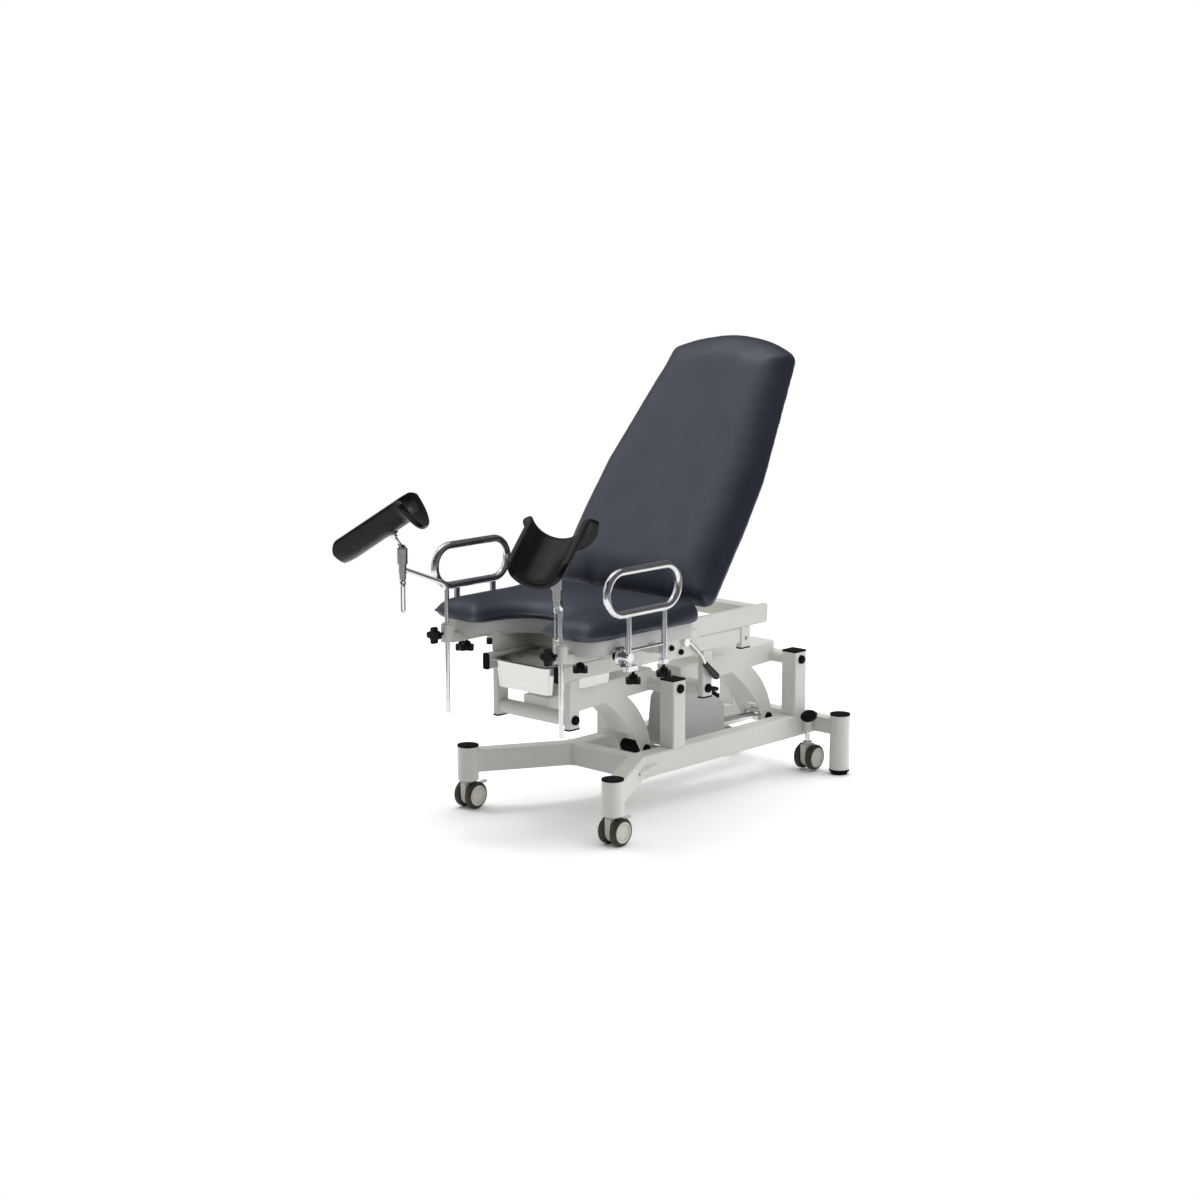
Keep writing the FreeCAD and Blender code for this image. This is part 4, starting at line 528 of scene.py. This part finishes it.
def trough_mesh(name):
    """The middle sheet of a crutch: rows along the trough, each an arc that ends at the rounded sides."""
    columns = 34
    work = bmesh.new()
    grid = []
    for s, out in trough_line():
        over = max(0.0, min(1.0, (out - radius) / lip_reach))
        high = side_reach(s) - 0.004 - 0.012 * over ** 2
        reach = min(spread - 0.06, acos(max(-1, min(1, (radius - high) / out))))
        row = []
        for j in range(columns + 1):
            t = j / columns
            t = t + 0.04 * sin(2 * pi * t) / pi
            a = -reach + 2 * reach * t
            here = out - max(0.0, out - radius + wall / 2) * 0.5 * abs(a / spread) ** 3
            row.append(work.verts.new((here * sin(a), s, radius - here * cos(a))))
        grid.append(row)
    for low, high in zip(grid, grid[1:]):
        for j in range(columns):
            work.faces.new((low[j], low[j + 1], high[j + 1], high[j]))
    bmesh.ops.recalc_face_normals(work, faces=work.faces)
    mesh = bpy.data.meshes.new(name)
    work.to_mesh(mesh)
    work.free()
    return mesh


def lathe_mesh(name, profile, turns=40):
    """A turned form about local Z from (radius, height) pairs."""
    work = bmesh.new()
    rings = []
    angles = [2 * pi * k / turns for k in range(turns)]
    for reach, height in profile:
        rings.append([work.verts.new((reach * cos(a), reach * sin(a), height)) for a in angles])
    for low, high in zip(rings, rings[1:]):
        for k in range(turns):
            work.faces.new((low[k], low[(k + 1) % turns], high[(k + 1) % turns], high[k]))
    work.faces.new(reversed(rings[0]))
    work.faces.new(rings[-1])
    bmesh.ops.recalc_face_normals(work, faces=work.faces)
    mesh = bpy.data.meshes.new(name)
    work.to_mesh(mesh)
    work.free()
    return mesh


def set_in_place(piece, place, mirror):
    piece.data.transform(place)
    if mirror:
        piece.data.transform(Matrix.Scale(-1, 4, (1, 0, 0)))
        piece.data.flip_normals()


def crutch(side, heading, slope, mirror, finishes):
    trough = link("crutch_trough_" + side, trough_mesh("crutch_trough_" + side))
    body = trough.modifiers.new("wall", "SOLIDIFY")
    body.thickness = wall
    body.offset = 0.0
    body.use_even_offset = True
    fine = trough.modifiers.new("fine", "SUBSURF")
    fine.levels = fine.render_levels = 2
    baked(trough)
    set_in_place(trough, crutch_place(heading, slope), mirror)
    shade_smooth(trough)
    trough.data.materials.append(finishes["crutch_foam"])
    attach(trough, "leg_crutch_" + side)
    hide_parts("leg_crutch_" + side)

    ball_angles = [pi * k / 24 for k in range(2, 21)]
    profile = [(0.010 * sin(a), -stem_length - 0.010 * cos(a)) for a in ball_angles]
    profile += [(0.0052, -stem_length + 0.0087), (0.0050, -0.0130), (0.0052, -0.0122), (0.0085, -0.0118),
                (0.0090, -0.0112), (0.0090, -0.0052), (0.0094, -0.0046), (0.0150, -0.0040), (0.0155, -0.0034),
                (0.0155, 0.0040), (0.0150, 0.0046)]
    stem = link("crutch_stem_" + side, lathe_mesh("crutch_stem_" + side, profile))
    set_in_place(stem, crutch_place(heading, slope), mirror)
    shade_smooth(stem)
    stem.data.materials.append(finishes["chrome"])
    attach(stem, "leg_crutch_" + side)


# Stage

def make_world():
    """Soft light by direction, a dark room with one bright panel for gloss, and white for the camera."""
    world = bpy.data.worlds.new("studio")
    scene.world = world
    world.use_nodes = True
    tree = world.node_tree
    tree.nodes.clear()

    def node(kind, **settings):
        made = tree.nodes.new(kind)
        for key, value in settings.items():
            setattr(made, key, value)
        return made

    def sums(operation, a, b):
        made = node("ShaderNodeMath", operation=operation)
        for socket, value in zip(made.inputs, (a, b)):
            if hasattr(value, "links"):
                tree.links.new(value, socket)
            else:
                socket.default_value = value
        return made.outputs["Value"]

    path = node("ShaderNodeLightPath").outputs
    way = node("ShaderNodeTexCoord").outputs["Generated"]

    def towards(direction):
        dot = node("ShaderNodeVectorMath", operation="DOT_PRODUCT")
        tree.links.new(way, dot.inputs[0])
        dot.inputs[1].default_value = Vector(direction).normalized()
        return sums("MAXIMUM", dot.outputs["Value"], 0.0)

    def blend(share, low, high):
        made = node("ShaderNodeMix", data_type="FLOAT")
        for socket, value in zip((made.inputs[0], made.inputs[2], made.inputs[3]), (share, low, high)):
            if hasattr(value, "links"):
                tree.links.new(value, socket)
            else:
                socket.default_value = value
        return made.outputs[0]

    def rise(value, start, end):
        made = node("ShaderNodeMapRange", interpolation_type="SMOOTHSTEP")
        tree.links.new(value, made.inputs["Value"])
        made.inputs["From Min"].default_value = start
        made.inputs["From Max"].default_value = end
        return made.outputs["Result"]

    overhead, near_side, far_side, foot_end = 0.45, 0.85, 0.50, -0.90
    light = 0.45
    for direction, share in (((0.0, 0.15, 1.0), overhead), ((1.0, 0.45, 0.15), near_side),
                             ((-1.0, -0.2, 0.1), far_side), ((0.55, -0.83, 0.05), foot_end)):
        light = sums("ADD", light, sums("MULTIPLY", towards(direction), share))
    light = sums("MAXIMUM", light, 0.0)
    above = towards((0.0, 0.0, 1.0))
    below = rise(towards((0.0, 0.0, -1.0)), 0.0, 0.08)
    behind = sums("MULTIPLY", rise(towards((-0.68, 0.73, 0.0)), 0.70, 0.95),
                  sums("SUBTRACT", 1.0, rise(above, 0.0, 0.05)))
    mirrored = blend(below, 0.12, 0.34)
    panel = rise(towards((-0.62, -0.42, 0.66)), 0.55, 0.90)
    mirrored = blend(sums("MAXIMUM", panel, behind), mirrored, 1.0)
    level = blend(path["Is Glossy Ray"], light, mirrored)
    level = blend(sums("MAXIMUM", path["Is Camera Ray"], path["Is Transmission Ray"]), level, 1.0)
    ground = node("ShaderNodeBackground")
    tree.links.new(level, ground.inputs["Strength"])
    ground.inputs["Color"].default_value = (1, 1, 1, 1)
    out = node("ShaderNodeOutputWorld")
    tree.links.new(ground.outputs["Background"], out.inputs["Surface"])


def make_floor():
    work = bmesh.new()
    bmesh.ops.create_grid(work, x_segments=8, y_segments=8, size=2.2)
    mesh = bpy.data.meshes.new("floor")
    work.to_mesh(mesh)
    work.free()
    floor = link("floor", mesh)
    floor.location = (0, 0, -0.0004)
    paint = bpy.data.materials.new("floor")
    paint.use_nodes = True
    tree = paint.node_tree
    tree.nodes.clear()
    path = tree.nodes.new("ShaderNodeLightPath").outputs

    def larger(a, b):
        made = tree.nodes.new("ShaderNodeMath")
        made.operation = "MAXIMUM"
        tree.links.new(a, made.inputs[0])
        tree.links.new(b, made.inputs[1])
        return made.outputs["Value"]

    shown = larger(path["Is Camera Ray"], larger(path["Is Glossy Ray"], path["Is Transmission Ray"]))
    tone = tree.nodes.new("ShaderNodeMix")
    tone.data_type = "RGBA"
    tree.links.new(shown, tone.inputs["Factor"])
    tone.inputs[6].default_value = (0.80, 0.80, 0.80, 1)
    tone.inputs[7].default_value = (1.16, 1.16, 1.165, 1)
    matte = tree.nodes.new("ShaderNodeBsdfDiffuse")
    tree.links.new(tone.outputs[2], matte.inputs["Color"])
    out = tree.nodes.new("ShaderNodeOutputMaterial")
    tree.links.new(matte.outputs["BSDF"], out.inputs["Surface"])
    mesh.materials.append(paint)


def make_lamp(name, energy, spread, way):
    data = bpy.data.lights.new(name, "SUN")
    data.energy = energy
    data.angle = radians(spread)
    data.color = (1.0, 0.995, 0.985)
    lamp = bpy.data.objects.new(name, data)
    lamp.rotation_mode = "QUATERNION"
    lamp.rotation_quaternion = Vector(way).to_track_quat("Z", "Y")
    scene.collection.objects.link(lamp)


# Scene

make_camera()
make_world()
make_floor()
make_lamp("softbox", 0.55, 55, (-0.10, 0.20, 0.97))
make_lamp("key", 0.30, 9, (-0.42, -0.12, 0.90))

finishes = {
    "frame_paint": powder_coat(),
    "black_cap": black_plastic("black_cap", (0.0045, 0.0045, 0.0046), 0.56, 380.0),
    "knob": black_plastic("knob", (0.0050, 0.0050, 0.0055), 0.36, 500.0, coat=0.15),
    "gas_tube": black_plastic("gas_tube", (0.0080, 0.0080, 0.0085), 0.30, 300.0, coat=0.4),
    "upholstery": leatherette(),
    "crutch_foam": moulded_foam(),
    "chrome": chrome(),
    "stainless": brushed_steel(),
    "wheel_front": wheel("wheel_front", -0.471, 0.036),
    "wheel_rear": wheel("wheel_rear", 0.454, 0.039),
    "lever": lever(),
    "actuator_plastic": housing(),
    "caster_plastic": caster_plastic(),
    "pan_paint": pan_sheet(),
}
dress_nodes(finishes)

hold = 0.004
x_axis, y_axis, z_axis = Vector((1, 0, 0)), Vector((0, 1, 0)), Vector((0, 0, 1))

seat_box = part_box("seat_cushion")
seat_half, seat_front, seat_rear = seat_box[1][0], seat_box[0][1], seat_box[1][1]
seat_low = seat_box[0][2]
seat_thick = seat_box[1][2] - seat_low
outer_corner, mouth_half, mouth_corner = 0.088, 0.112, 0.052
seat_lift, seat_sink, seat_roll, seat_share = -0.002, 0.024, 0.130, 0.012
seat = skin("seat_cover", "seat_cushion")
square_corners(seat, seat_half, 1, seat_front, outer_corner, seat_low, seat_thick)
square_corners(seat, mouth_half, -1, seat_front, mouth_corner, seat_low, seat_thick)
dome(seat, z_axis, seat_low, seat_thick, seat_lift, seat_sink, seat_roll, seat_rear)
stretch(seat, Vector((0, seat_rear, 0)), y_axis, seat_share)
stretch(seat, Vector((0, 0, 0)), x_axis, seat_share)
upholster(seat, lambda p: p.z < seat_low + hold)
seat.data.materials.append(finishes["upholstery"])
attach(seat, "upper")
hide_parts("seat_cushion")

back_pivot = Vector((0, -0.134, 0.540))
back_angle = radians(55.4)
back_up = Vector((0, -sin(back_angle), cos(back_angle)))
back_along = Vector((0, cos(back_angle), sin(back_angle)))
back_low = back_pivot.dot(back_up) - 0.0087
back_thick, back_lift, back_sink, back_roll = 0.060, 0.010, 0.026, 0.100
back_share, widen_share, widen_end = 0.029, 0.040, 0.30
back = skin("backrest_cover", "backrest_cushion")
dome(back, back_up, back_low, back_thick, back_lift, back_sink, back_roll)
stretch(back, back_pivot, back_along, back_share)
for vertex in back.data.vertices:
    vertex.co.x *= 1 + widen_share * smooth((vertex.co - back_pivot).dot(back_along), 0.0, widen_end)
upholster(back, lambda p: p.dot(back_up) < back_low + hold)
back.data.materials.append(finishes["upholstery"])
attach(back, "backrest")
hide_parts("backrest_cushion")

crutch("left", 27.0, 24.0, False, finishes)
crutch("right", 54.0, 34.0, True, finishes)
